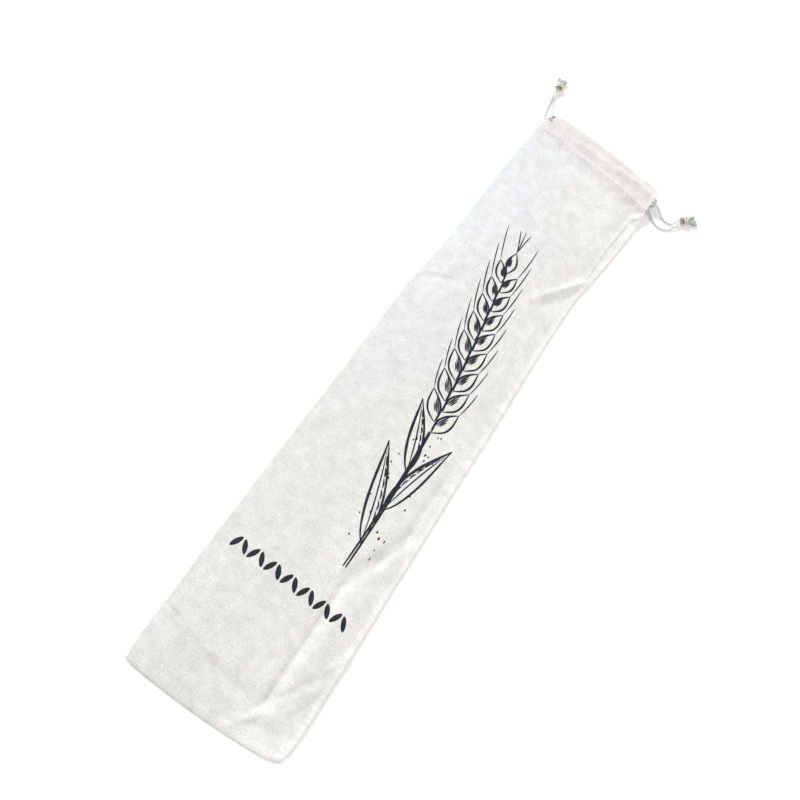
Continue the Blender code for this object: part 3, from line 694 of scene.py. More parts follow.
def channel_section():
    angle = 2 * math.pi * np.arange(CHANNEL_SIDES) / CHANNEL_SIDES
    across = np.sign(np.cos(angle)) * np.abs(np.cos(angle)) ** 0.7
    up = np.sign(np.sin(angle)) * np.abs(np.sin(angle)) ** 0.45
    return CHANNEL_MIDDLE + CHANNEL_HALF * across, CHANNEL / 2 * up


def channel_cutter():
    part, up = channel_section()
    far = right_edge(LENGTH) + 2 * BEYOND
    turn_along = LENGTH - part * casing_depth(LEFT_X)
    turn_x, radius = fold_turn(turn_along)
    sections = []
    for i in range(CHANNEL_STEPS + 1):
        x = far + (turn_x - far) * i / CHANNEL_STEPS
        along = LENGTH - part * casing_depth(x)
        z = front_middle(np.minimum(x, right_edge(along)), along) + up
        sections.append(np.stack([x, along, z], axis=1))
    for i in range(1, ARC_STEPS):
        angle = math.pi * i / ARC_STEPS
        x = turn_x - (radius + up) * math.sin(angle)
        z = BACK_LANE + radius + (radius + up) * math.cos(angle)
        sections.append(np.stack([x, turn_along, z], axis=1))
    for i in range(CHANNEL_STEPS // 4 + 1):
        x = turn_x + (far - turn_x) * i / (CHANNEL_STEPS // 4)
        sections.append(np.stack([x, LENGTH - part * casing_depth(x), BACK_LANE - up], axis=1))
    return closed_loft("cut_channel", [s.tolist() for s in sections])


# %% [markdown]
# The left drawstring leaves through two slits near the fold: one in the front, and one round the
# fold itself. Each goes through the outer layer of the casing only.

# %% The two slits, and all the cuts
FRONT_HOLE = (-64.5, 680.5)
FRONT_HOLE_SIZE = (7.0, 3.2)
FRONT_HOLE_TURN = math.radians(-14)
HOLE_SIDES = 24
FOLD_HOLE_ALONG, FOLD_HOLE_WIDTH = 686.5, 3.4
FOLD_HOLE_FROM, FOLD_HOLE_SWEEP = 100, 155


def front_hole_ring(grow=0.0):
    """The slit's outline with round ends, made larger by grow."""
    length, width = FRONT_HOLE_SIZE
    ring = []
    for i in range(HOLE_SIDES):
        angle = 2 * math.pi * (i + 0.5) / HOLE_SIDES
        x = math.copysign((length - width) / 2, math.cos(angle))
        x += (width / 2 + grow) * math.cos(angle)
        y = (width / 2 + grow) * math.sin(angle)
        turned = Matrix.Rotation(FRONT_HOLE_TURN, 2) @ Vector((x, y))
        ring.append((FRONT_HOLE[0] + turned.x, FRONT_HOLE[1] + turned.y))
    return ring


def front_hole_cutter():
    low = float(front_middle(np.array(FRONT_HOLE[0]), np.array(FRONT_HOLE[1])))
    ring = front_hole_ring()
    return closed_loft("cut_front", [[(x, a, z) for x, a in ring] for z in (low, low + BEYOND)])


def fold_hole_cutter():
    middle, radius = (float(v) for v in fold_turn(np.array(FOLD_HOLE_ALONG)))
    angles = np.radians(FOLD_HOLE_FROM + FOLD_HOLE_SWEEP * np.arange(17) / 16)
    ring = []
    for reach, order in ((radius - GAP, angles), (radius + BEYOND, angles[::-1])):
        for angle in order:
            ring.append((middle + reach * math.cos(angle), BACK_LANE + radius + reach * math.sin(angle)))
    sides = (-FOLD_HOLE_WIDTH / 2, FOLD_HOLE_WIDTH / 2)
    return closed_loft("cut_fold", [[(x, FOLD_HOLE_ALONG + s, z) for x, z in ring] for s in sides])


def only(piece):
    """Selects one piece and makes it the active one."""
    bpy.ops.object.select_all(action="DESELECT")
    piece.select_set(True)
    bpy.context.view_layer.objects.active = piece


def cut_away(piece, cutter):
    only(piece)
    modifier = piece.modifiers.new("cut", "BOOLEAN")
    modifier.operation = "DIFFERENCE"
    modifier.object = cutter
    modifier.solver = "EXACT"
    bpy.ops.object.modifier_apply(modifier="cut")
    bpy.data.objects.remove(cutter)


for make_cutter in (pocket_cutter, channel_cutter, front_hole_cutter, fold_hole_cutter):
    cut_away(bag, make_cutter())
    print(make_cutter.__name__, "leaves", len(bag.data.polygons), "faces")
only(bag)
bpy.ops.object.shade_smooth_by_angle(angle=math.radians(50))

# %% [markdown]
# ## Finding the cloth's surface
# Stitches and ink lie on the cloth. A vertical ray onto the finished mesh finds its exact height,
# so they follow each fold without floating over it or sinking into it.

# %% Rays onto the cloth
bag_tree = BVHTree.FromPolygons(
    [v.co for v in bag.data.vertices], [p.vertices for p in bag.data.polygons]
)


def cloth_point(x, along, from_below=False):
    """The cloth's surface at a place on the bag, in metres, with its outward normal."""
    for aside in (0.0, 0.013):
        start = Vector(((x + aside) * MM, (along - LENGTH / 2) * MM, -0.01 if from_below else 0.05))
        spot, normal, _, _ = bag_tree.ray_cast(start, Vector((0, 0, 1 if from_below else -1)))
        if spot is not None:
            break
    return spot, normal


# %% [markdown]
# ## Cords
# A drawstring is three thin strands twisted together. Its tube has three low lobes that turn as
# they go along, which catches the light as real cord does. A frame is carried along the path
# without twisting by itself, so the lobes turn evenly.

# %% A twisted cord along a path
CORD_SIDES = 12
STRANDS = 3
TWIST_PITCH = 5.5
LOBE_DEPTH = 0.20
# The attribute that says where the material paints shade: in a cord's grooves and in a knot's gaps.
GROOVE_SHADE_MAP = "hollow"


def smooth_path(points, step):
    """Evenly spaced points on a smooth curve through the given ones."""
    given = np.array(points, float)
    padded = np.concatenate([given[:1], given, given[-1:]])
    t = (np.arange(12) / 12)[:, None]
    fine = []
    for b, a, c, d in zip(padded[:-3], padded[1:-2], padded[2:-1], padded[3:]):
        cubic = 2 * a + (c - b) * t + (2 * b - 5 * a + 4 * c - d) * t**2
        fine.append(0.5 * (cubic + (3 * a - b - 3 * c + d) * t**3))
    fine = np.concatenate([*fine, given[-1:]])
    distance = np.concatenate([[0.0], np.cumsum(np.linalg.norm(np.diff(fine, axis=0), axis=1))])
    even = np.linspace(0.0, distance[-1], max(2, round(distance[-1] / step) + 1))
    return np.stack([np.interp(even, distance, fine[:, k]) for k in range(3)], axis=1)


def twisted_cord(name, points, diameter, step=0.55, pitch=TWIST_PITCH):
    """A cord through points in millimetres on the bag: x, along, height."""
    path = smooth_path(points, step * (1.0))
    tangents = np.gradient(path, axis=0)
    tangents /= np.linalg.norm(tangents, axis=1)[:, None]
    side = np.cross(tangents[0], (0.0, 0.0, 1.0))
    if np.linalg.norm(side) < 0.1:
        side = np.cross(tangents[0], (1.0, 0.0, 0.0))
    rings, hollows, uvs, gone = [], [], [], 0.0
    for i, (spot, tangent) in enumerate(zip(path, tangents)):
        side = side - tangent * np.dot(side, tangent)
        side /= np.linalg.norm(side)
        up = np.cross(side, tangent)
        gone += 0.0 if i == 0 else float(np.linalg.norm(spot - path[i - 1]))
        turn = 2 * math.pi * np.arange(CORD_SIDES) / CORD_SIDES
        lobes = 0.5 - 0.5 * np.cos(STRANDS * (turn - 2 * math.pi * gone / pitch / STRANDS))
        reach = diameter / 2 * (1.0 - LOBE_DEPTH * lobes)
        rings.append(spot + reach[:, None] * (np.cos(turn)[:, None] * side + np.sin(turn)[:, None] * up))
        # The lobes' low places, where the material paints shade into the grooves.
        hollows.append(lobes)
        uvs.append(gone)
    piece = tube_mesh(name, rings, uvs, diameter)
    note_groove_shade(piece, np.concatenate(hollows))
    return piece


def note_groove_shade(piece, values):
    """Keeps how deep each point lies in a groove, from 0 to 1, where the material paints shade."""
    layer = piece.data.attributes.get(GROOVE_SHADE_MAP)
    if layer is None:
        layer = piece.data.attributes.new(GROOVE_SHADE_MAP, "FLOAT", "POINT")
    layer.data.foreach_set("value", np.array(values, np.float32))


def tube_mesh(name, rings, gone, diameter):
    """A closed tube from rings, with a UV that runs round it and along it, in metres."""
    size = len(rings[0])
    around = math.pi * diameter * np.arange(size + 1) / size
    corners = []
    for i in range(len(rings) - 1):
        for j in range(size):
            corners += [
                (around[j], gone[i]), (around[j + 1], gone[i]),
                (around[j + 1], gone[i + 1]), (around[j], gone[i + 1]),
            ]
    for i in (0, len(rings) - 1):
        corners += [(around[j], gone[i]) for j in range(size)]
    x, along, z = np.concatenate(rings).T
    faces = ring_faces(len(rings), size)
    piece = mesh_object(name, to_frame(x, along, z), faces, np.array(corners) * MM)
    piece.data.shade_smooth()
    return piece


# %% [markdown]
# ## The routes of the drawstrings
# Each drawstring goes once round the mouth inside the casing. The left one turns in the open at the
# right end of the casing, where its bend shows, and the right one turns inside the fold.
# Outside, the four ends drop onto the table and rise into their knots. These routes are the CAD's.

# %% Cord routes
LEFT_LANES = {"front_left": 680.5, "front_right": 681.5, "back_right": 676.5, "back_left": 686.5}
RIGHT_LANES = {"front_right": 676.0, "front_left": 675.0, "back_left": 675.0, "back_right": 671.0}
LANE_LEFT_END, LANE_RIGHT_END, CASING_END = -59.0, 74.0, 76.6
LANE_STEPS, TURN_STEPS = 36, 10
RIGHT_TURN_OUT = 3.8
FREE_ROUTES = {
    "tie_right_front": (
        (77.0, 676.1, 10.3), (79.5, 676.4, 9.9), (82.6, 676.9, 8.6), (85.6, 676.9, 6.6),
        (88.6, 676.3, 4.6), (91.8, 675.3, 2.8), (95.0, 674.3, 1.6), (98.4, 673.6, 1.1),
        (101.8, 673.5, 1.1), (105.0, 674.2, 1.2), (107.6, 675.6, 1.7), (109.4, 678.2, 2.8),
        (110.6, 681.2, 3.9), (111.9, 684.0, 4.2),
    ),
    "tie_right_back": (
        (77.0, 670.9, 2.3), (79.4, 670.2, 2.1), (81.8, 668.7, 1.7), (84.2, 666.6, 1.3),
        (87.2, 664.4, 1.1), (90.8, 662.6, 1.1), (94.6, 661.6, 1.1), (98.6, 661.5, 1.1),
        (102.4, 662.6, 1.1), (105.8, 664.8, 1.1), (108.8, 668.0, 1.2), (111.2, 671.8, 1.7),
        (112.6, 675.6, 2.8), (113.1, 679.0, 3.9), (113.7, 682.2, 4.2),
    ),
    "tie_left_front": (
        (-60.9, 680.5, 10.6), (-63.0, 680.6, 11.6), (-64.6, 681.0, 12.9), (-65.6, 682.6, 13.8),
        (-66.2, 685.2, 13.3), (-66.4, 688.2, 12.0), (-67.0, 691.2, 10.6), (-68.2, 694.8, 8.7),
        (-69.7, 698.8, 6.4), (-71.2, 703.2, 4.2), (-72.7, 708.0, 2.4), (-74.2, 712.8, 1.3),
        (-75.6, 718.0, 1.3), (-76.7, 722.4, 2.3), (-77.3, 725.6, 3.8), (-77.5, 728.4, 4.2),
    ),
    "tie_left_back": (
        (-60.9, 686.5, 2.3), (-63.6, 686.5, 2.3), (-66.0, 686.5, 2.3), (-68.0, 686.6, 2.2),
        (-70.2, 687.4, 1.8), (-72.2, 689.8, 1.2), (-73.8, 694.4, 1.1), (-75.0, 699.7, 1.1),
        (-76.2, 706.4, 1.1), (-77.5, 712.8, 1.1), (-78.7, 718.6, 1.3), (-79.5, 722.6, 2.4),
        (-79.9, 725.6, 3.8), (-80.0, 728.2, 4.2),
    ),
}


def lane(x_from, x_to, along_from, along_to):
    part = np.arange(LANE_STEPS + 1) / LANE_STEPS
    return x_from + (x_to - x_from) * part, along_from + (along_to - along_from) * ease(part)


def front_lane(*ends):
    x, along = lane(*ends)
    return np.stack([x, along, front_middle(np.minimum(x, right_edge(along)), along)], axis=1)


def back_lane(*ends):
    x, along = lane(*ends)
    return np.stack([x, along, np.full(len(x), BACK_LANE)], axis=1)


def left_drawstring_route():
    lanes = LEFT_LANES
    front = front_lane(LANE_LEFT_END, LANE_RIGHT_END, lanes["front_left"], lanes["front_right"])
    high = front[-1][2]
    share = np.arange(1, TURN_STEPS) / TURN_STEPS
    x = CASING_END + RIGHT_TURN_OUT * np.sin(math.pi * share)
    along = lanes["front_right"] + (lanes["back_right"] - lanes["front_right"]) * ease(share)
    z = (high + BACK_LANE) / 2 + (high - BACK_LANE) / 2 * np.cos(math.pi * share)
    back = back_lane(LANE_RIGHT_END, LANE_LEFT_END, lanes["back_right"], lanes["back_left"])
    return np.concatenate([front, np.stack([x, along, z], axis=1), back])


def right_drawstring_route():
    lanes = RIGHT_LANES
    middle, radius = (float(v) for v in fold_turn(np.array(lanes["front_left"])))
    front = front_lane(CASING_END, middle, lanes["front_right"], lanes["front_left"])
    share = np.arange(1, TURN_STEPS) / TURN_STEPS
    x = middle - radius * np.sin(math.pi * share)
    z = BACK_LANE + radius + radius * np.cos(math.pi * share)
    turn = np.stack([x, np.full(len(x), lanes["front_left"]), z], axis=1)
    back = back_lane(middle, CASING_END, lanes["back_left"], lanes["back_right"])
    return np.concatenate([front, turn, back])


hidden_left = twisted_cord("cord_in_casing_left", left_drawstring_route(), CORD, step=0.8)
hidden_right = twisted_cord("cord_in_casing_right", right_drawstring_route(), CORD, step=0.8)
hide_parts("drawstring_left")
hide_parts("drawstring_right")

free_cords = {}
for node, route in FREE_ROUTES.items():
    free_cords[node] = twisted_cord("cord_" + node[4:], route, CORD)
    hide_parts(node)
print("free cords:", ", ".join(free_cords))

# %% [markdown]
# ## Knots and frayed tails
# The two ends of a drawstring are laid together and tied in one overhand knot. Seen from outside
# that is a short barrel of slanted turns. Behind it the cut ends have come untwisted into a brush
# of single threads, which spread out and sink to the table.
# The barrel is made from the same twisted cord, wound in two helices with a core inside them.

# %% Knots
KNOTS = {
    # middle x, middle along, heading in degrees from +X, long, wide
    "knot_right": (113.2, 683.6, 46.0, 1.0, 1.0),
    "knot_left": (-78.8, 728.9, 97.0, 0.86, 0.94),
}
KNOT_HIGH = 4.2
WRAP_FROM, WRAP_TO = 2.0, 9.4
WRAP_TURNS = 1.6
WRAP_CORD, WRAP_PITCH = 2.2, 4.6
WRAP_STEPS = 48
WRAP_LEAN = 0.7
CORE_CORD, CORE_PITCH = 4.6, 12.0
# How much painted shade the gaps between a knot's turns and its neck get.
GAP_SHADE_DARKEST = 0.95
GAP_STARTS, GAP_FADES = 0.92, 0.16
NECK_SHADE = 0.7
WRAP_SIDE, WRAP_UP = 3.8, 2.95
TAIL_THREADS = 76
TAIL_THREAD = 0.8
TAIL_FROM, TAIL_TO = 10.6, 21.0
TAIL_STEPS = 5


def knot_place(name, reach, side, up):
    """A place in a knot's own directions as a place on the bag."""
    x, along, heading, long, wide = KNOTS[name]
    turn = math.radians(heading)
    return (
        x + reach * long * math.cos(turn) - side * wide * math.sin(turn),
        along + reach * long * math.sin(turn) + side * wide * math.cos(turn),
        up,
    )


def join(pieces, name):
    bpy.ops.object.select_all(action="DESELECT")
    for piece in pieces:
        piece.select_set(True)
    bpy.context.view_layer.objects.active = pieces[0]
    if len(pieces) > 1:
        bpy.ops.object.join()
    pieces[0].name = name
    pieces[0].data.name = name
    return pieces[0]


def knot_barrel(name):
    windings = []
    for start in (0.0, math.pi):
        route = [knot_place(name, 0.4, 1.0 * math.cos(start), KNOT_HIGH)]
        for i in range(WRAP_STEPS + 1):
            share = i / WRAP_STEPS
            angle = start + 2 * math.pi * WRAP_TURNS * share
            swell = 0.86 + 0.14 * math.sin(math.pi * share) + 0.03 * math.sin(5 * share + start)
            lean = WRAP_LEAN * math.sin(angle)
            route.append(knot_place(
                name,
                WRAP_FROM + (WRAP_TO - WRAP_FROM) * share + lean,
                WRAP_SIDE * swell * math.cos(angle),
                KNOT_HIGH + WRAP_UP * swell * math.sin(angle),
            ))
        route.append(knot_place(name, WRAP_TO + 1.6, 0.9 * math.cos(start + 1.0), KNOT_HIGH - 0.5))
        windings.append(twisted_cord("winding", route, WRAP_CORD, pitch=WRAP_PITCH))
    core = [knot_place(name, r, 0.0, KNOT_HIGH - 0.03 * r) for r in (0.8, 4.0, 8.0, 12.6)]
    windings.append(twisted_cord("core", core, CORE_CORD, pitch=CORE_PITCH))
    barrel = join(windings, name + "_wound")
    note_groove_shade(barrel, barrel_gap_shade(barrel, name))
    return barrel


def barrel_gap_shade(barrel, name):
    """How far each point lies below the barrel's outside, so that the gaps of its turns get painted shade.
    """
    x, along, heading, _, wide = KNOTS[name]
    turn = math.radians(heading)
    values = []
    for vertex in barrel.data.vertices:
        across = vertex.co.x / MM - x, vertex.co.y / MM + LENGTH / 2 - along
        side = (across[1] * math.cos(turn) - across[0] * math.sin(turn)) / wide
        up = vertex.co.z / MM - KNOT_HIGH
        reach = across[0] * math.cos(turn) + across[1] * math.sin(turn)
        out = math.hypot(side / (WRAP_SIDE + WRAP_CORD / 2), up / (WRAP_UP + WRAP_CORD / 2))
        darkest = GAP_SHADE_DARKEST if reach > WRAP_FROM else NECK_SHADE
        values.append(min(darkest, max(0.0, (GAP_STARTS - out) / GAP_FADES)))
    return values


def frayed_tail(name, seed):
    draw = random.Random(seed)
    threads = []
    for i in range(TAIL_THREADS):
        spread = draw.uniform(-1.0, 1.0)
        lift = draw.uniform(-1.0, 1.0)
        long = draw.uniform(0.78, 1.02)
        bend = draw.uniform(-1.2, 1.2)
        route = []
        for k in range(TAIL_STEPS + 1):
            share = k / TAIL_STEPS
            reach = TAIL_FROM + (TAIL_TO - TAIL_FROM) * share * long
            fan = 1.8 + 4.4 * share**1.3
            side = spread * fan + bend * share * math.sin(3.0 * share + i)
            up = 3.6 - 1.7 * share**1.2 + lift * (1.5 - 0.3 * share)
            route.append(knot_place(name, reach, side, max(0.45, up)))
        threads.append(twisted_cord("thread", route, TAIL_THREAD, step=1.6, pitch=2.6))
    return join(threads, name + "_frayed")


knot_pieces = {}
for seed, name in enumerate(KNOTS):
    barrel, tail = knot_barrel(name), frayed_tail(name, seed + 11)
    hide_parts(name)
    knot_pieces[name] = [barrel, tail]
    print(name, "has", len(barrel.data.polygons) + len(tail.data.polygons), "faces")

# %% [markdown]
# ## Stitches
# The casing is closed by one line of machine stitches that goes round the mouth. A stitch is a
# short thread that dips into the cloth at both ends. One is modelled from a primitive, and copies
# of it are laid on the cloth one after another, each turned along the line.

# %% One stitch
THREAD = 0.62
STITCH_LENGTH = 2.6
STITCH_PITCH = 3.1
STITCH_THINNER = 0.35
STITCH_DIP = 0.34


def model_stitch():
    bpy.ops.object.select_all(action="DESELECT")
    bpy.ops.mesh.primitive_cylinder_add(
        vertices=6, radius=THREAD / 2 * MM, depth=STITCH_LENGTH * MM, rotation=(0, math.pi / 2, 0)
    )
    stitch = bpy.context.active_object
    bpy.ops.object.transform_apply(location=True, rotation=True, scale=True)
    bpy.ops.object.mode_set(mode="EDIT")
    for share in (-0.3, 0.0, 0.3):
        bpy.ops.mesh.select_all(action="SELECT")
        bpy.ops.mesh.bisect(plane_co=(share * STITCH_LENGTH * MM, 0, 0), plane_no=(1, 0, 0))
    bpy.ops.object.mode_set(mode="OBJECT")
    half = STITCH_LENGTH / 2 * MM
    for vertex in stitch.data.vertices:
        out = abs(vertex.co.x) / half
        keep = 1.0 - STITCH_THINNER * out**3
        vertex.co.y *= keep
        vertex.co.z = vertex.co.z * keep - STITCH_DIP * MM * out**2.5
    stitch.data.shade_smooth()
    stitch.name = "stitch"
    return stitch


stitch_form = model_stitch()
print("one stitch:", len(stitch_form.data.polygons), "faces")

# %% [markdown]
# A stitch is placed by three directions: along the line, out of the cloth, and the one across them.
# The needle never lands quite evenly, so each stitch is a little out of line, by a seeded draw.

# %% Laying a line of stitches


def lay_stitch(spot, ahead, normal, lift=0.06, long=1.0):
    across = normal.cross(ahead).normalized()
    ahead = across.cross(normal).normalized()
    turn = Matrix((ahead * long, across, normal)).transposed().to_4x4()
    copy = stitch_form.copy()
    copy.data = stitch_form.data.copy()
    copy.data.transform(Matrix.Translation(spot + normal * lift * MM) @ turn)
    bpy.context.scene.collection.objects.link(copy)
    return copy


def casing_line(from_below):
    draw = random.Random(5)
    laid = []
    left = -66.0 if from_below else -69.5
    for i in range(int((74.0 - left) / STITCH_PITCH)):
        x = left + i * STITCH_PITCH
        along = LENGTH - STITCH_PART * float(casing_depth(x)) + draw.uniform(-0.12, 0.12)
        spot, normal = cloth_point(x, along, from_below)
        ahead, _ = cloth_point(x + 1.0, LENGTH - STITCH_PART * float(casing_depth(x + 1.0)), from_below)
        if spot is None or ahead is None or abs(normal.z) < 0.5:
            continue
        laid.append(lay_stitch(spot, ahead - spot, normal))
    return laid


def hole_stitches():
    """Short close stitches round the front slit, each across its edge."""
    inner, outer = front_hole_ring(-0.1), front_hole_ring(1.0)
    laid = []
    for (x0, a0), (x1, a1) in zip(inner, outer):
        spot, normal = cloth_point((x0 + 2 * x1) / 3, (a0 + 2 * a1) / 3)
        if spot is None or normal.z < 0.3:
            continue
        ahead = Vector((x1 - x0, a1 - a0, 0.0))
        laid.append(lay_stitch(spot, ahead, normal, lift=0.12, long=0.8))
    return laid


front_line = join(casing_line(False), "stitches_front")
back_line = join(casing_line(True), "stitches_back")
for vertex in back_line.data.vertices:
    vertex.co.z = max(0.0, vertex.co.z)
slit_edge = join(hole_stitches(), "stitches_slit")
bpy.data.objects.remove(stitch_form)

# %% [markdown]
# ## The print
# The bag carries a large plain print in near-black ink: a stalk of wheat with three narrow leaves,
# a stem and an ear of grains with long awns, and below it a border of small grains.
# A print could be painted by the material, but a clean line needs a very fine pattern. Here each
# ink line is a thin closed ribbon that follows the cloth, with the uneven width of a brush.

# %% Ink ribbons
INK_ABOVE = 0.09
INK_BELOW = 0.12
INK_STEP = 0.9
INK_COLUMN = 0.5
ink_lines = []


def ink(points, width, ends=0.25, wobble=0.12):
    """Notes one line of ink through places on the bag. It thins to a part of its width at its ends."""
    ink_lines.append((np.array(points, float), width, ends, wobble))


def ink_ribbon(line, number):
    points, width, ends, wobble = line
    flat = np.concatenate([points, np.zeros((len(points), 1))], axis=1)
    path = smooth_path(flat, INK_STEP)[:, :2]
    ahead = np.gradient(path, axis=0)
    ahead /= np.maximum(np.linalg.norm(ahead, axis=1), 1e-9)[:, None]
    across = np.stack([-ahead[:, 1], ahead[:, 0]], axis=1)
    share = np.linspace(0.0, 1.0, len(path))
    swell = ends + (1 - ends) * np.sin(math.pi * share) ** 0.6
    waver = 1 + wobble * soft_noise(path[:, 0] + 31.0 * number, path[:, 1], 9.0, 8.0)
    half = width / 2 * swell * waver
    steps = np.linspace(-1.0, 1.0, 1 + max(2, math.ceil(width / INK_COLUMN)))
    tops, bottoms = [], []
    for spot, side, reach in zip(path, across, half):
        for step in steps:
            x, along = spot + side * reach * step
            found, _ = cloth_point(x, along)
            tops.append(found + Vector((0, 0, INK_ABOVE * MM)))
            bottoms.append(found - Vector((0, 0, INK_BELOW * MM)))
    return tops, bottoms, len(path), len(steps)


def ink_mesh(name, lines):
    points, faces = [], []
    for number, line in enumerate(lines):
        tops, bottoms, rows, wide = ink_ribbon(line, number)
        top, low = len(points), len(points) + len(tops)
        points += [tuple(p) for p in tops + bottoms]
        for i in range(rows - 1):
            for j in range(wide - 1):
                a = i * wide + j
                quad = (a, a + 1, a + 1 + wide, a + wide)
                faces.append(tuple(top + k for k in quad))
                faces.append(tuple(low + k for k in reversed(quad)))
            for a, b in ((i * wide, (i + 1) * wide), ((i + 2) * wide - 1, (i + 1) * wide - 1)):
                faces.append((top + a, top + b, low + b, low + a))
        for a in (0, (rows - 1) * wide):
            upper = tuple(top + a + j for j in range(wide))
            faces.append(upper + tuple(low + a + j for j in reversed(range(wide))))
    return mesh_object(name, points, faces)


# %% [markdown]
# The drawing is made from a few shapes that repeat with small changes. A stem line gives a place
# and a direction for each of them. A grain is two curved sides that meet in a point, a few lines of
# hatching on its shaded side, and an awn that runs on from its tip.

# %% Shapes of the drawing
SPRIG_FOOT = (28.0, 160.0)
SPRIG_HEAD = (-3.0, 506.0)
SPRIG_BEND = 7.0


def stem_place(t):
    """A place on the stem and its direction as an angle, for t from 0 at the foot to 1 at the head."""
    x = SPRIG_FOOT[0] + (SPRIG_HEAD[0] - SPRIG_FOOT[0]) * t + SPRIG_BEND * math.sin(math.pi * t * 1.25)
    along = SPRIG_FOOT[1] + (SPRIG_HEAD[1] - SPRIG_FOOT[1]) * t
    if t > 0.999:
        before, _ = stem_place(t - 0.01)
        return (x, along), math.atan2(along - before[1], x - before[0])
    ahead_x = SPRIG_FOOT[0] + (SPRIG_HEAD[0] - SPRIG_FOOT[0]) * (t + 0.001)
    ahead_x += SPRIG_BEND * math.sin(math.pi * (t + 0.001) * 1.25)
    return (x, along), math.atan2((SPRIG_HEAD[1] - SPRIG_FOOT[1]) * 0.001, ahead_x - x)


def in_shape(base, angle, reach, side):
    return (
        base[0] + reach * math.cos(angle) - side * math.sin(angle),
        base[1] + reach * math.sin(angle) + side * math.cos(angle),
    )


def grain(base, angle, long, wide, line, shade):
    """A pointed grain. shade is 1 or -1, for the side that is hatched."""
    for side in (-1, 1):
        bulge = [0.0, 0.55, 0.95, 1.0, 0.8, 0.42, 0.0]
        ink([in_shape(base, angle, long * k / 6, side * wide / 2 * b) for k, b in enumerate(bulge)], line)
    for k in range(3):
        at = shade * wide * (0.33 - 0.13 * k)
        ink([in_shape(base, angle, long * (0.22 + 0.04 * k), at * 0.9),
             in_shape(base, angle, long * 0.48, at),
             in_shape(base, angle, long * (0.76 - 0.09 * k), at * 0.72)], line * 0.75, ends=0.1)


def awn(base, angle, long, bend, line):
    tip = [in_shape(base, angle, long * k / 4, bend * (k / 4) ** 2) for k in range(5)]
    ink(tip, line, ends=0.15)


def leaf(base, angle, long, wide, curl, line):
    """A long narrow leaf that curls to one side, with its middle vein and hatching."""
    def spot(share, across):
        droop = curl * share**2
        width = wide / 2 * math.sin(math.pi * min(1.0, share * 1.02) ** 0.75)
        return in_shape(base, angle, long * share, droop + across * width)
    for across, heavy in ((-1, 1.1), (1, 1.3)):
        ink([spot(k / 9, across) for k in range(10)], line * heavy)
    ink([spot(0.05 + 0.85 * k / 7, 0.0) for k in range(8)], line * 0.7, ends=0.1)
    side = 1 if curl > 0 else -1
    for k in range(7):
        low = 0.12 + 0.105 * k
        ink([spot(low, -side * 0.55), spot(low + 0.05, -side * 0.62), spot(low + 0.10, -side * 0.5)],
            line * 0.8, ends=0.1)


# %% [markdown]
# The ear has grains in pairs, each pair a little higher than the one before, and one at its top.
# The awns stand out in a fan. Loose grains lie beside the stem as small specks.

# %% Drawing the stalk
LINE = 2.0
EAR_FROM, EAR_TO, EAR_PAIRS = 0.42, 0.955, 8
GRAIN_LONG, GRAIN_WIDE, GRAIN_LEAN = 33.0, 12.5, 27.0
LEAF_WIDE = 14.0
LEAVES = (
    # place on the stem, side, length, lean in degrees, curl
    (0.07, 1, 96.0, 13.0, 9.0),
    (0.17, -1, 88.0, 11.0, 8.0),
    (0.29, 1, 72.0, 12.0, 8.0),
)
SPECKS = 26


def draw_stalk():
    for side in (-1.1, 1.1):
        line = []
        for k in range(13):
            spot, angle = stem_place(EAR_FROM * k / 12)
            line.append(in_shape(spot, angle, 0.0, side * (1.15 - 0.5 * k / 12)))
        ink(line, LINE, ends=0.6)
    spine = [stem_place(EAR_FROM + (EAR_TO - EAR_FROM) * k / 12)[0] for k in range(13)]
    ink(spine, LINE * 0.9, ends=0.3)
    for k in range(EAR_PAIRS):
        t = EAR_FROM + (EAR_TO - EAR_FROM) * k / EAR_PAIRS
        shrink = 1.0 - 0.28 * (k / EAR_PAIRS) ** 2
        for side in (-1, 1):
            spot, angle = stem_place(t + (0.030 if side > 0 else 0.0))
            lean = angle + side * math.radians(GRAIN_LEAN - 4.0 * k / EAR_PAIRS)
            base = in_shape(spot, angle, 0.0, side * 1.4)
            grain(base, lean, GRAIN_LONG * shrink, GRAIN_WIDE * shrink, LINE, -side)
            tip = in_shape(base, lean, GRAIN_LONG * shrink, 0.0)
            awn(tip, lean - side * math.radians(9.0), 30.0 + 14.0 * k / EAR_PAIRS, -side * 3.2, LINE * 0.62)


def draw_head():
    spot, angle = stem_place(EAR_TO)
    grain(spot, angle, GRAIN_LONG * 0.8, GRAIN_WIDE * 0.8, LINE, 1)
    tip = in_shape(spot, angle, GRAIN_LONG * 0.8, 0.0)
    for side in (-1, 0, 1):
        awn(tip, angle + side * math.radians(9.0), 27.0, side * 2.0, LINE * 0.62)


def draw_leaves():
    for t, side, long, lean, curl in LEAVES:
        spot, angle = stem_place(t)
        leaf(spot, angle + side * math.radians(lean), long, LEAF_WIDE, side * curl, LINE)


def draw_specks():
    draw = random.Random(23)
    for _ in range(SPECKS):
        t = draw.uniform(0.04, 0.42)
        spot, angle = stem_place(t)
        side = draw.choice((-1, 1)) * draw.uniform(6.0, 17.0)
        at = in_shape(spot, angle, 0.0, side)
        turn = angle + draw.uniform(-0.5, 0.5)
        long = draw.uniform(1.6, 3.4)
        ink([at, in_shape(at, turn, long / 2, 0.0), in_shape(at, turn, long, 0.0)],
            draw.uniform(1.0, 1.9), ends=0.35)


draw_stalk()
draw_head()
draw_leaves()
draw_specks()
stalk = ink_mesh("print_stalk", ink_lines)
print("stalk:", len(ink_lines), "lines,", len(stalk.data.polygons), "faces")

# %% [markdown]
# Below the stalk goes a row of short marks, like single grains that lean to and fro. Each is one
# broad ribbon with pointed ends. A loop sets them at even distances between two places on the bag.

# %% Drawing the border
BORDER_FROM, BORDER_TO = (-57.0, 124.8), (55.0, 121.2)
BORDER_MARKS = 14
MARK_LONG, MARK_WIDE, MARK_LEAN = 13.0, 4.6, 27.0

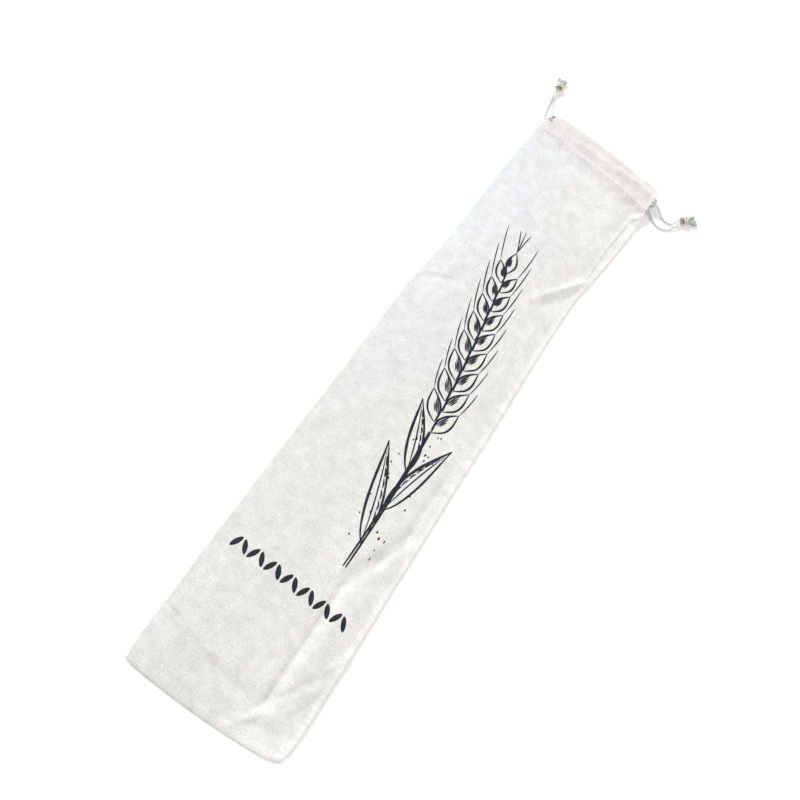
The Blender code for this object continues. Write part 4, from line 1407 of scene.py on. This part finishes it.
border_lines = ink_lines = []
for k in range(BORDER_MARKS):
    share = k / (BORDER_MARKS - 1)
    middle = [a + (b - a) * share for a, b in zip(BORDER_FROM, BORDER_TO)]
    angle = math.radians(90.0 + (MARK_LEAN if k % 2 else -MARK_LEAN))
    ink([in_shape(middle, angle, MARK_LONG * (s - 0.5), 0.0) for s in (0.0, 0.33, 0.66, 1.0)],
        MARK_WIDE, ends=0.08, wobble=0.05)
border = ink_mesh("print_border", border_lines)
print("border:", len(border_lines), "marks")

# %% [markdown]
# ## Materials
# Linen is a plain weave of uneven threads. The pattern is needed by the cloth and by the ink on it,
# and the fibres of the cotton by every cord, so each is a node group with its own inputs.

# %% Node helpers


def node(tree, kind, settings=None, **inputs):
    made = tree.nodes.new(kind)
    for key, value in (settings or {}).items():
        setattr(made, key, value)
    for key, value in inputs.items():
        numbered = key[0] == "i" and key[1:].isdigit()
        socket = made.inputs[int(key[1:]) if numbered else key.replace("_", " ")]
        if isinstance(value, bpy.types.NodeSocket):
            tree.links.new(value, socket)
        else:
            socket.default_value = value
    return made


def math_node(tree, operation, a, b=None):
    inputs = {"i0": a} if b is None else {"i0": a, "i1": b}
    return node(tree, "ShaderNodeMath", {"operation": operation}, **inputs).outputs[0]


def mix_colour(tree, factor, a, b, blend="MIX"):
    made = node(tree, "ShaderNodeMix", {"data_type": "RGBA", "blend_type": blend})
    for socket, value in ((made.inputs[0], factor), (made.inputs[6], a), (made.inputs[7], b)):
        if isinstance(value, bpy.types.NodeSocket):
            tree.links.new(value, socket)
        else:
            socket.default_value = value
    return made.outputs[2]


def fit_range(tree, value, low, high, to_low=0.0, to_high=1.0):
    given = {"i0": value, "i1": low, "i2": high, "i3": to_low, "i4": to_high}
    return node(tree, "ShaderNodeMapRange", {"clamp": True}, **given).outputs[0]


def scaled(tree, vector, scale):
    return node(tree, "ShaderNodeVectorMath", {"operation": "MULTIPLY"}, i0=vector, i1=scale).outputs[0]


def noise_at(tree, vector, scale, detail=3.0, rough=0.55):
    given = {"Vector": vector, "Scale": scale, "Detail": detail, "Roughness": rough}
    return node(tree, "ShaderNodeTexNoise", None, **given).outputs[0]


def new_group(name, inputs, outputs):
    tree = bpy.data.node_groups.new(name, "ShaderNodeTree")
    for label, kind, value in inputs:
        socket = tree.interface.new_socket(label, in_out="INPUT", socket_type=kind)
        if value is not None:
            socket.default_value = value
    for label, kind in outputs:
        tree.interface.new_socket(label, in_out="OUTPUT", socket_type=kind)
    return tree, tree.nodes.new("NodeGroupInput"), tree.nodes.new("NodeGroupOutput")


# %% [markdown]
# In a plain weave every thread goes over one and under the next. Two sine waves, one across the
# warp and one across the weft, give the round threads, and their product says which one is on top.
# Slubs are the thick places of the yarn: noise that is stretched along the thread it belongs to.

# %% The weave group


def plain_weave_group():
    tree, given, result = new_group(
        "plain_weave",
        [("Vector", "NodeSocketVector", None), ("Pitch", "NodeSocketFloat", 0.0007)],
        [("Height", "NodeSocketFloat"), ("Slubs", "NodeSocketFloat"), ("Over", "NodeSocketFloat")],
    )
    vector, pitch = given.outputs["Vector"], given.outputs["Pitch"]
    bend = noise_at(tree, vector, 90.0, detail=1.0)
    bend = math_node(tree, "MULTIPLY", math_node(tree, "SUBTRACT", bend, 0.5), 0.0012)
    split = node(tree, "ShaderNodeSeparateXYZ", None, i0=vector).outputs
    waves = []
    for axis in (0, 1):
        place = math_node(tree, "ADD", split[axis], bend)
        turn = math_node(tree, "MULTIPLY", math_node(tree, "DIVIDE", place, pitch), math.pi)
        waves.append(math_node(tree, "SINE", turn))
    over = fit_range(tree, math_node(tree, "MULTIPLY", waves[0], waves[1]), -0.6, 0.6)
    warp, weft = (math_node(tree, "ABSOLUTE", w) for w in waves)
    height = node(tree, "ShaderNodeMix", {"data_type": "FLOAT"}, i0=over, i2=warp, i3=weft).outputs[0]
    warp_slub = noise_at(tree, scaled(tree, vector, (1500.0, 60.0, 1.0)), 1.0)
    weft_slub = noise_at(tree, scaled(tree, vector, (55.0, 1400.0, 1.0)), 1.0)
    slubs = node(tree, "ShaderNodeMix", {"data_type": "FLOAT"}, i0=over, i2=warp_slub, i3=weft_slub)
    tree.links.new(height, result.inputs["Height"])
    tree.links.new(slubs.outputs[0], result.inputs["Slubs"])
    tree.links.new(over, result.inputs["Over"])
    return tree


def cotton_fibre_group():
    tree, given, result = new_group(
        "cotton_fibre",
        [("Vector", "NodeSocketVector", None), ("Scale", "NodeSocketFloat", 1.0)],
        [("Height", "NodeSocketFloat"), ("Fibres", "NodeSocketFloat")],
    )
    vector = node(
        tree, "ShaderNodeVectorMath", {"operation": "SCALE"},
        i0=given.outputs["Vector"], Scale=given.outputs["Scale"],
    ).outputs[0]
    fibres = noise_at(tree, scaled(tree, vector, (5200.0, 700.0, 1.0)), 1.0, detail=4.0, rough=0.65)
    tree.links.new(fibres, result.inputs["Fibres"])
    tree.links.new(fibres, result.inputs["Height"])
    return tree


PLAIN_WEAVE = plain_weave_group()
COTTON_FIBRE = cotton_fibre_group()
print("shared effects:", PLAIN_WEAVE.name, "and", COTTON_FIBRE.name)
THREAD_PITCH = 0.00068


def group_node(tree, group, **inputs):
    return node(tree, "ShaderNodeGroup", {"node_tree": group}, **inputs).outputs


def new_material(name, roughness):
    material = bpy.data.materials.new(name)
    material.use_nodes = True
    tree = material.node_tree
    shader = tree.nodes["Principled BSDF"]
    shader.inputs["Roughness"].default_value = roughness
    shader.inputs["Specular IOR Level"].default_value = 0.25
    return material, tree, shader


# %% [markdown]
# ## The linen's colour
# Unbleached linen is never one colour, and its base colour here goes from a greenish grey at the bottom
# over a warm pinkish grey at the casing and the seam to a cooler tone by the fold near the mouth. Part of
# this is painted light: the cool tone is lighter by the fold, where the lamp falls, the pink tone is
# lighter at the right, and the whole cloth is darker at the left and lighter at the right and the bottom,
# against the shading of its rounded front. On top of that lie the flecks of the yarn, light and dark, a
# millimetre or two long, and a soft mottling about as wide as a finger.

# %% Linen
LINEN_GREEN = (0.720, 0.721, 0.691, 1.0)
# Partly the cloth's own tone, partly painted light: the pink tone is lighter to offset the shade at the
# right, and the cool tone is lighter by the fold, where the lamp falls.
LINEN_PINK = (0.780, 0.765, 0.740, 1.0)
LINEN_COOL = (0.746, 0.766, 0.778, 1.0)
LINEN_CASING = (0.711, 0.680, 0.666, 1.0)
CASING_STARTS = (0.296, 0.328)
PINK_UP, PINK_RIGHT = (0.20, 0.34), (0.0, 0.09)
COOL_UP, COOL_LEFT = (-0.10, 0.22), (0.02, -0.07)
# Painted light and shade: the cloth is darker at the left and lighter at the right and the bottom, against
# the shading of its rounded front.
PAINTED_LIGHT_TONES = (
    # axis, from and to place on it, how light there
    (0, (-0.075, 0.075), (0.91, 1.06)),
    (1, (-0.346, -0.300), (1.09, 1.0)),
)
FLECKS = (
    # stretch of the noise across and along, its scale, strength, colour
    ((420.0, 620.0, 1.0), 1.0, 0.60, (0.46, 0.44, 0.38, 1.0)),
    ((560.0, 390.0, 1.0), 1.3, 0.80, (0.95, 0.94, 0.92, 1.0)),
)


def linen_material():
    material, tree, shader = new_material("linen", 0.92)
    place = node(tree, "ShaderNodeTexCoord").outputs["Object"]
    uv = node(tree, "ShaderNodeUVMap", {"uv_map": WEAVE_MAP}).outputs[0]
    split = node(tree, "ShaderNodeSeparateXYZ", None, i0=place).outputs
    drift = noise_at(tree, place, 11.0, detail=2.0)
    wander = fit_range(tree, drift, 0.3, 0.7, -0.05, 0.05)
    up_bag = math_node(tree, "ADD", split[1], wander)
    to_right = math_node(tree, "ADD", split[0], wander)
    # Pink to the right and towards the mouth, cool by the fold near the mouth: partly the cloth's own tone,
    # partly painted light.
    pink = fit_range(tree, up_bag, *PINK_UP), fit_range(tree, to_right, *PINK_RIGHT)
    cool = fit_range(tree, up_bag, *COOL_UP), fit_range(tree, to_right, *COOL_LEFT)
    pink = math_node(tree, "MAXIMUM", *pink)
    cool = math_node(tree, "MULTIPLY", *cool)
    colour = mix_colour(tree, pink, LINEN_GREEN, LINEN_PINK)
    colour = mix_colour(tree, cool, colour, LINEN_COOL)
    colour = mix_colour(tree, fit_range(tree, split[1], *CASING_STARTS), colour, LINEN_CASING)
    mottle = noise_at(tree, place, 95.0, detail=4.0, rough=0.6)
    shade = fit_range(tree, mottle, 0.32, 0.68, 0.90, 1.05)
    # Painted light and shade on top of the random mottling: darker at the left, lighter at the right and
    # the bottom.
    for axis, places, tones in PAINTED_LIGHT_TONES:
        shade = math_node(tree, "MULTIPLY", shade, fit_range(tree, split[axis], *places, *tones))
    weave = group_node(tree, PLAIN_WEAVE, Vector=uv, Pitch=THREAD_PITCH)
    for stretch, scale, strength, fleck in FLECKS:
        specks = noise_at(tree, scaled(tree, uv, stretch), scale, detail=4.0, rough=0.7)
        colour = mix_colour(tree, fit_range(tree, specks, 0.54, 0.68, 0.0, strength), colour, fleck)
    thread = fit_range(tree, weave["Slubs"], 0.3, 0.7, 0.92, 1.06)
    for tone in (shade, thread):
        grey = node(tree, "ShaderNodeCombineXYZ", None, i0=tone, i1=tone, i2=tone).outputs[0]
        colour = mix_colour(tree, 1.0, colour, grey, "MULTIPLY")
    tree.links.new(colour, shader.inputs["Base Color"])
    relief = math_node(tree, "ADD", weave["Height"], math_node(tree, "MULTIPLY", weave["Slubs"], 1.2))
    relief = math_node(tree, "ADD", relief, math_node(tree, "MULTIPLY", mottle, 2.2))
    bump = node(tree, "ShaderNodeBump", None, Strength=0.55, Distance=0.00028, Height=relief)
    tree.links.new(bump.outputs[0], shader.inputs["Normal"])
    tree.links.new(fit_range(tree, weave["Slubs"], 0.3, 0.7, 0.86, 0.97), shader.inputs["Roughness"])
    shader.inputs["Sheen Weight"].default_value = 0.12
    shader.inputs["Sheen Roughness"].default_value = 0.5
    return material


# %% [markdown]
# ## Ink, cotton and thread
# Printing ink sinks into the yarn, so the weave shows through it and the lowest places between the threads
# stay a little lighter. The cords are a pale greyish white, with painted shade in the grooves between their
# strands. The knots are creamier, with painted shade in the gaps between their turns.

# %% Ink
INK_DARK = (0.012, 0.014, 0.024, 1.0)
INK_THIN = (0.070, 0.074, 0.092, 1.0)


def ink_material():
    material, tree, shader = new_material("printing_ink", 0.75)
    place = node(tree, "ShaderNodeTexCoord").outputs["Object"]
    weave = group_node(tree, PLAIN_WEAVE, Vector=place, Pitch=THREAD_PITCH)
    worn = noise_at(tree, place, 260.0, detail=4.0, rough=0.65)
    low_yarn = fit_range(tree, weave["Slubs"], 0.4, 0.7)
    thin = math_node(tree, "MULTIPLY", fit_range(tree, worn, 0.45, 0.75), low_yarn)
    tree.links.new(mix_colour(tree, thin, INK_DARK, INK_THIN), shader.inputs["Base Color"])
    bump = node(tree, "ShaderNodeBump", None, Strength=0.4, Distance=0.0002, Height=weave["Height"])
    tree.links.new(bump.outputs[0], shader.inputs["Normal"])
    tree.links.new(fit_range(tree, worn, 0.3, 0.7, 0.66, 0.84), shader.inputs["Roughness"])
    return material


# %% [markdown]
# Cord, knots, tails and threads are all cotton, so one function makes all their materials. Its two colours
# are those of the fibres in the light and a dark one, which paints shade into the grooves between the
# strands and the gaps of the knots' turns, and which random soiling and darker fibres also use. The
# attribute that the cords carry says where that painted shade goes.

# %% Cotton


def cotton_material(name, light, dark, scale):
    material, tree, shader = new_material(name, 0.85)
    uv = node(tree, "ShaderNodeUVMap", {"uv_map": WEAVE_MAP}).outputs[0]
    place = node(tree, "ShaderNodeTexCoord").outputs["Object"]
    fibre = group_node(tree, COTTON_FIBRE, Vector=uv, Scale=scale)
    soil = noise_at(tree, place, 420.0, detail=3.0)
    # Painted shade: the grooves of the cords and the gaps of the knots' turns get the dark colour, and
    # random soiling and darker fibres add to it.
    hollow = node(tree, "ShaderNodeAttribute", {"attribute_name": GROOVE_SHADE_MAP}).outputs["Fac"]
    shade_and_soil = fit_range(tree, hollow, 0.25, 1.0)
    shade_and_soil = math_node(tree, "ADD", shade_and_soil, fit_range(tree, soil, 0.5, 0.8, 0.0, 0.5))
    shade_and_soil = math_node(tree, "ADD", shade_and_soil, fit_range(tree, fibre["Fibres"], 0.45, 0.25, 0.0, 0.4))
    colour = mix_colour(tree, fit_range(tree, shade_and_soil, 0.0, 1.4), light, dark)
    tree.links.new(colour, shader.inputs["Base Color"])
    bump = node(tree, "ShaderNodeBump", None, Strength=0.5, Distance=0.00012, Height=fibre["Height"])
    tree.links.new(bump.outputs[0], shader.inputs["Normal"])
    tree.links.new(fit_range(tree, soil, 0.3, 0.7, 0.78, 0.92), shader.inputs["Roughness"])
    shader.inputs["Sheen Weight"].default_value = 0.15
    return material


LINEN = linen_material()
INK = ink_material()
# The second colour of each cotton is its dark one: painted shade in grooves and gaps, random soiling and
# darker fibres.
CORD_COTTON = cotton_material("cord_cotton", (0.74, 0.76, 0.72, 1.0), (0.30, 0.33, 0.31, 1.0), 1.0)
KNOT_COTTON = cotton_material("knot_cotton", (0.70, 0.67, 0.57, 1.0), (0.08, 0.07, 0.05, 1.0), 1.0)
TAIL_COTTON = cotton_material("tail_cotton", (0.55, 0.64, 0.60, 1.0), (0.16, 0.20, 0.18, 1.0), 1.0)
THREAD_COTTON = cotton_material("sewing_thread", (0.93, 0.92, 0.89, 1.0), (0.60, 0.57, 0.51, 1.0), 1.0)
SLIT_COTTON = cotton_material("slit_thread", (0.86, 0.74, 0.62, 1.0), (0.50, 0.38, 0.29, 1.0), 1.0)


def finish_with(piece, material):
    piece.data.materials.clear()
    piece.data.materials.append(material)
    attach(piece, "root")


finish_with(bag, LINEN)
finish_with(stalk, INK)
finish_with(border, INK)
for piece in (front_line, back_line):
    finish_with(piece, THREAD_COTTON)
finish_with(slit_edge, SLIT_COTTON)
for piece in (hidden_left, hidden_right, *free_cords.values()):
    finish_with(piece, CORD_COTTON)
for barrel, tail in knot_pieces.values():
    finish_with(barrel, KNOT_COTTON)
    finish_with(tail, TAIL_COTTON)
print("materials:", ", ".join(m.name for m in bpy.data.materials if m.users))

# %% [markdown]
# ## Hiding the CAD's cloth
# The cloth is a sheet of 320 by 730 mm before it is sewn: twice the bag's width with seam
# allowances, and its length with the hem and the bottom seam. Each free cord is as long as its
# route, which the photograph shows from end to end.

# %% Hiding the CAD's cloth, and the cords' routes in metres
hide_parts("bag_cloth")


def route_in_metres(route):
    path = smooth_path(route, 1.0)
    return to_frame(*path.T)


for node_name, piece in free_cords.items():
    path = route_in_metres(FREE_ROUTES[node_name])

# %% [markdown]
# ## Floor and light
# The floor is plain and nearly white. The light is a bright, even studio: a white world, a large
# soft lamp beyond the folded edge, which models the folds, and a weak warm one from the right.

# %% Stage
FLOOR_SIZE = 8.0
FLOOR_COLOUR = (0.97, 0.97, 0.97, 1.0)
WORLD_COLOUR = (1.0, 1.0, 1.0, 1.0)
WORLD_STRENGTH = 0.74
LAMPS = (
    # name, place, target, size, power, colour
    ("key", (-4.3, 2.5, 3.4), (0.0, 0.0, 0.0), 1.7, 290.0, (0.97, 0.99, 1.0)),
    ("warm_fill", (2.4, 0.6, 1.6), (0.05, 0.1, 0.0), 1.6, 20.0, (1.0, 0.95, 0.90)),
)


def make_floor():
    bpy.ops.object.select_all(action="DESELECT")
    bpy.ops.mesh.primitive_plane_add(size=FLOOR_SIZE, location=(0, 0, -0.0001))
    floor = bpy.context.active_object
    floor.name = "floor"
    material, tree, shader = new_material("floor_paper", 0.9)
    shader.inputs["Base Color"].default_value = FLOOR_COLOUR
    floor.data.materials.append(material)


def soft_lamp(name, place, target, size, power, colour):
    lamp = bpy.data.objects.new(name, bpy.data.lights.new(name, "AREA"))
    lamp.data.shape = "SQUARE"
    lamp.data.size = size
    lamp.data.energy = power
    lamp.data.color = colour
    lamp.location = place
    lamp.rotation_euler = (Vector(target) - Vector(place)).to_track_quat("-Z", "Y").to_euler()
    bpy.context.scene.collection.objects.link(lamp)


make_floor()
world = bpy.data.worlds.new("studio")
bpy.context.scene.world = world
world.use_nodes = True
world.node_tree.nodes["Background"].inputs[0].default_value = WORLD_COLOUR
world.node_tree.nodes["Background"].inputs[1].default_value = WORLD_STRENGTH
for lamp in LAMPS:
    soft_lamp(*lamp)
print("lamps:", ", ".join(lamp[0] for lamp in LAMPS))
bpy.context.scene.view_settings.view_transform = "Standard"
bpy.context.scene.view_settings.look = "None"
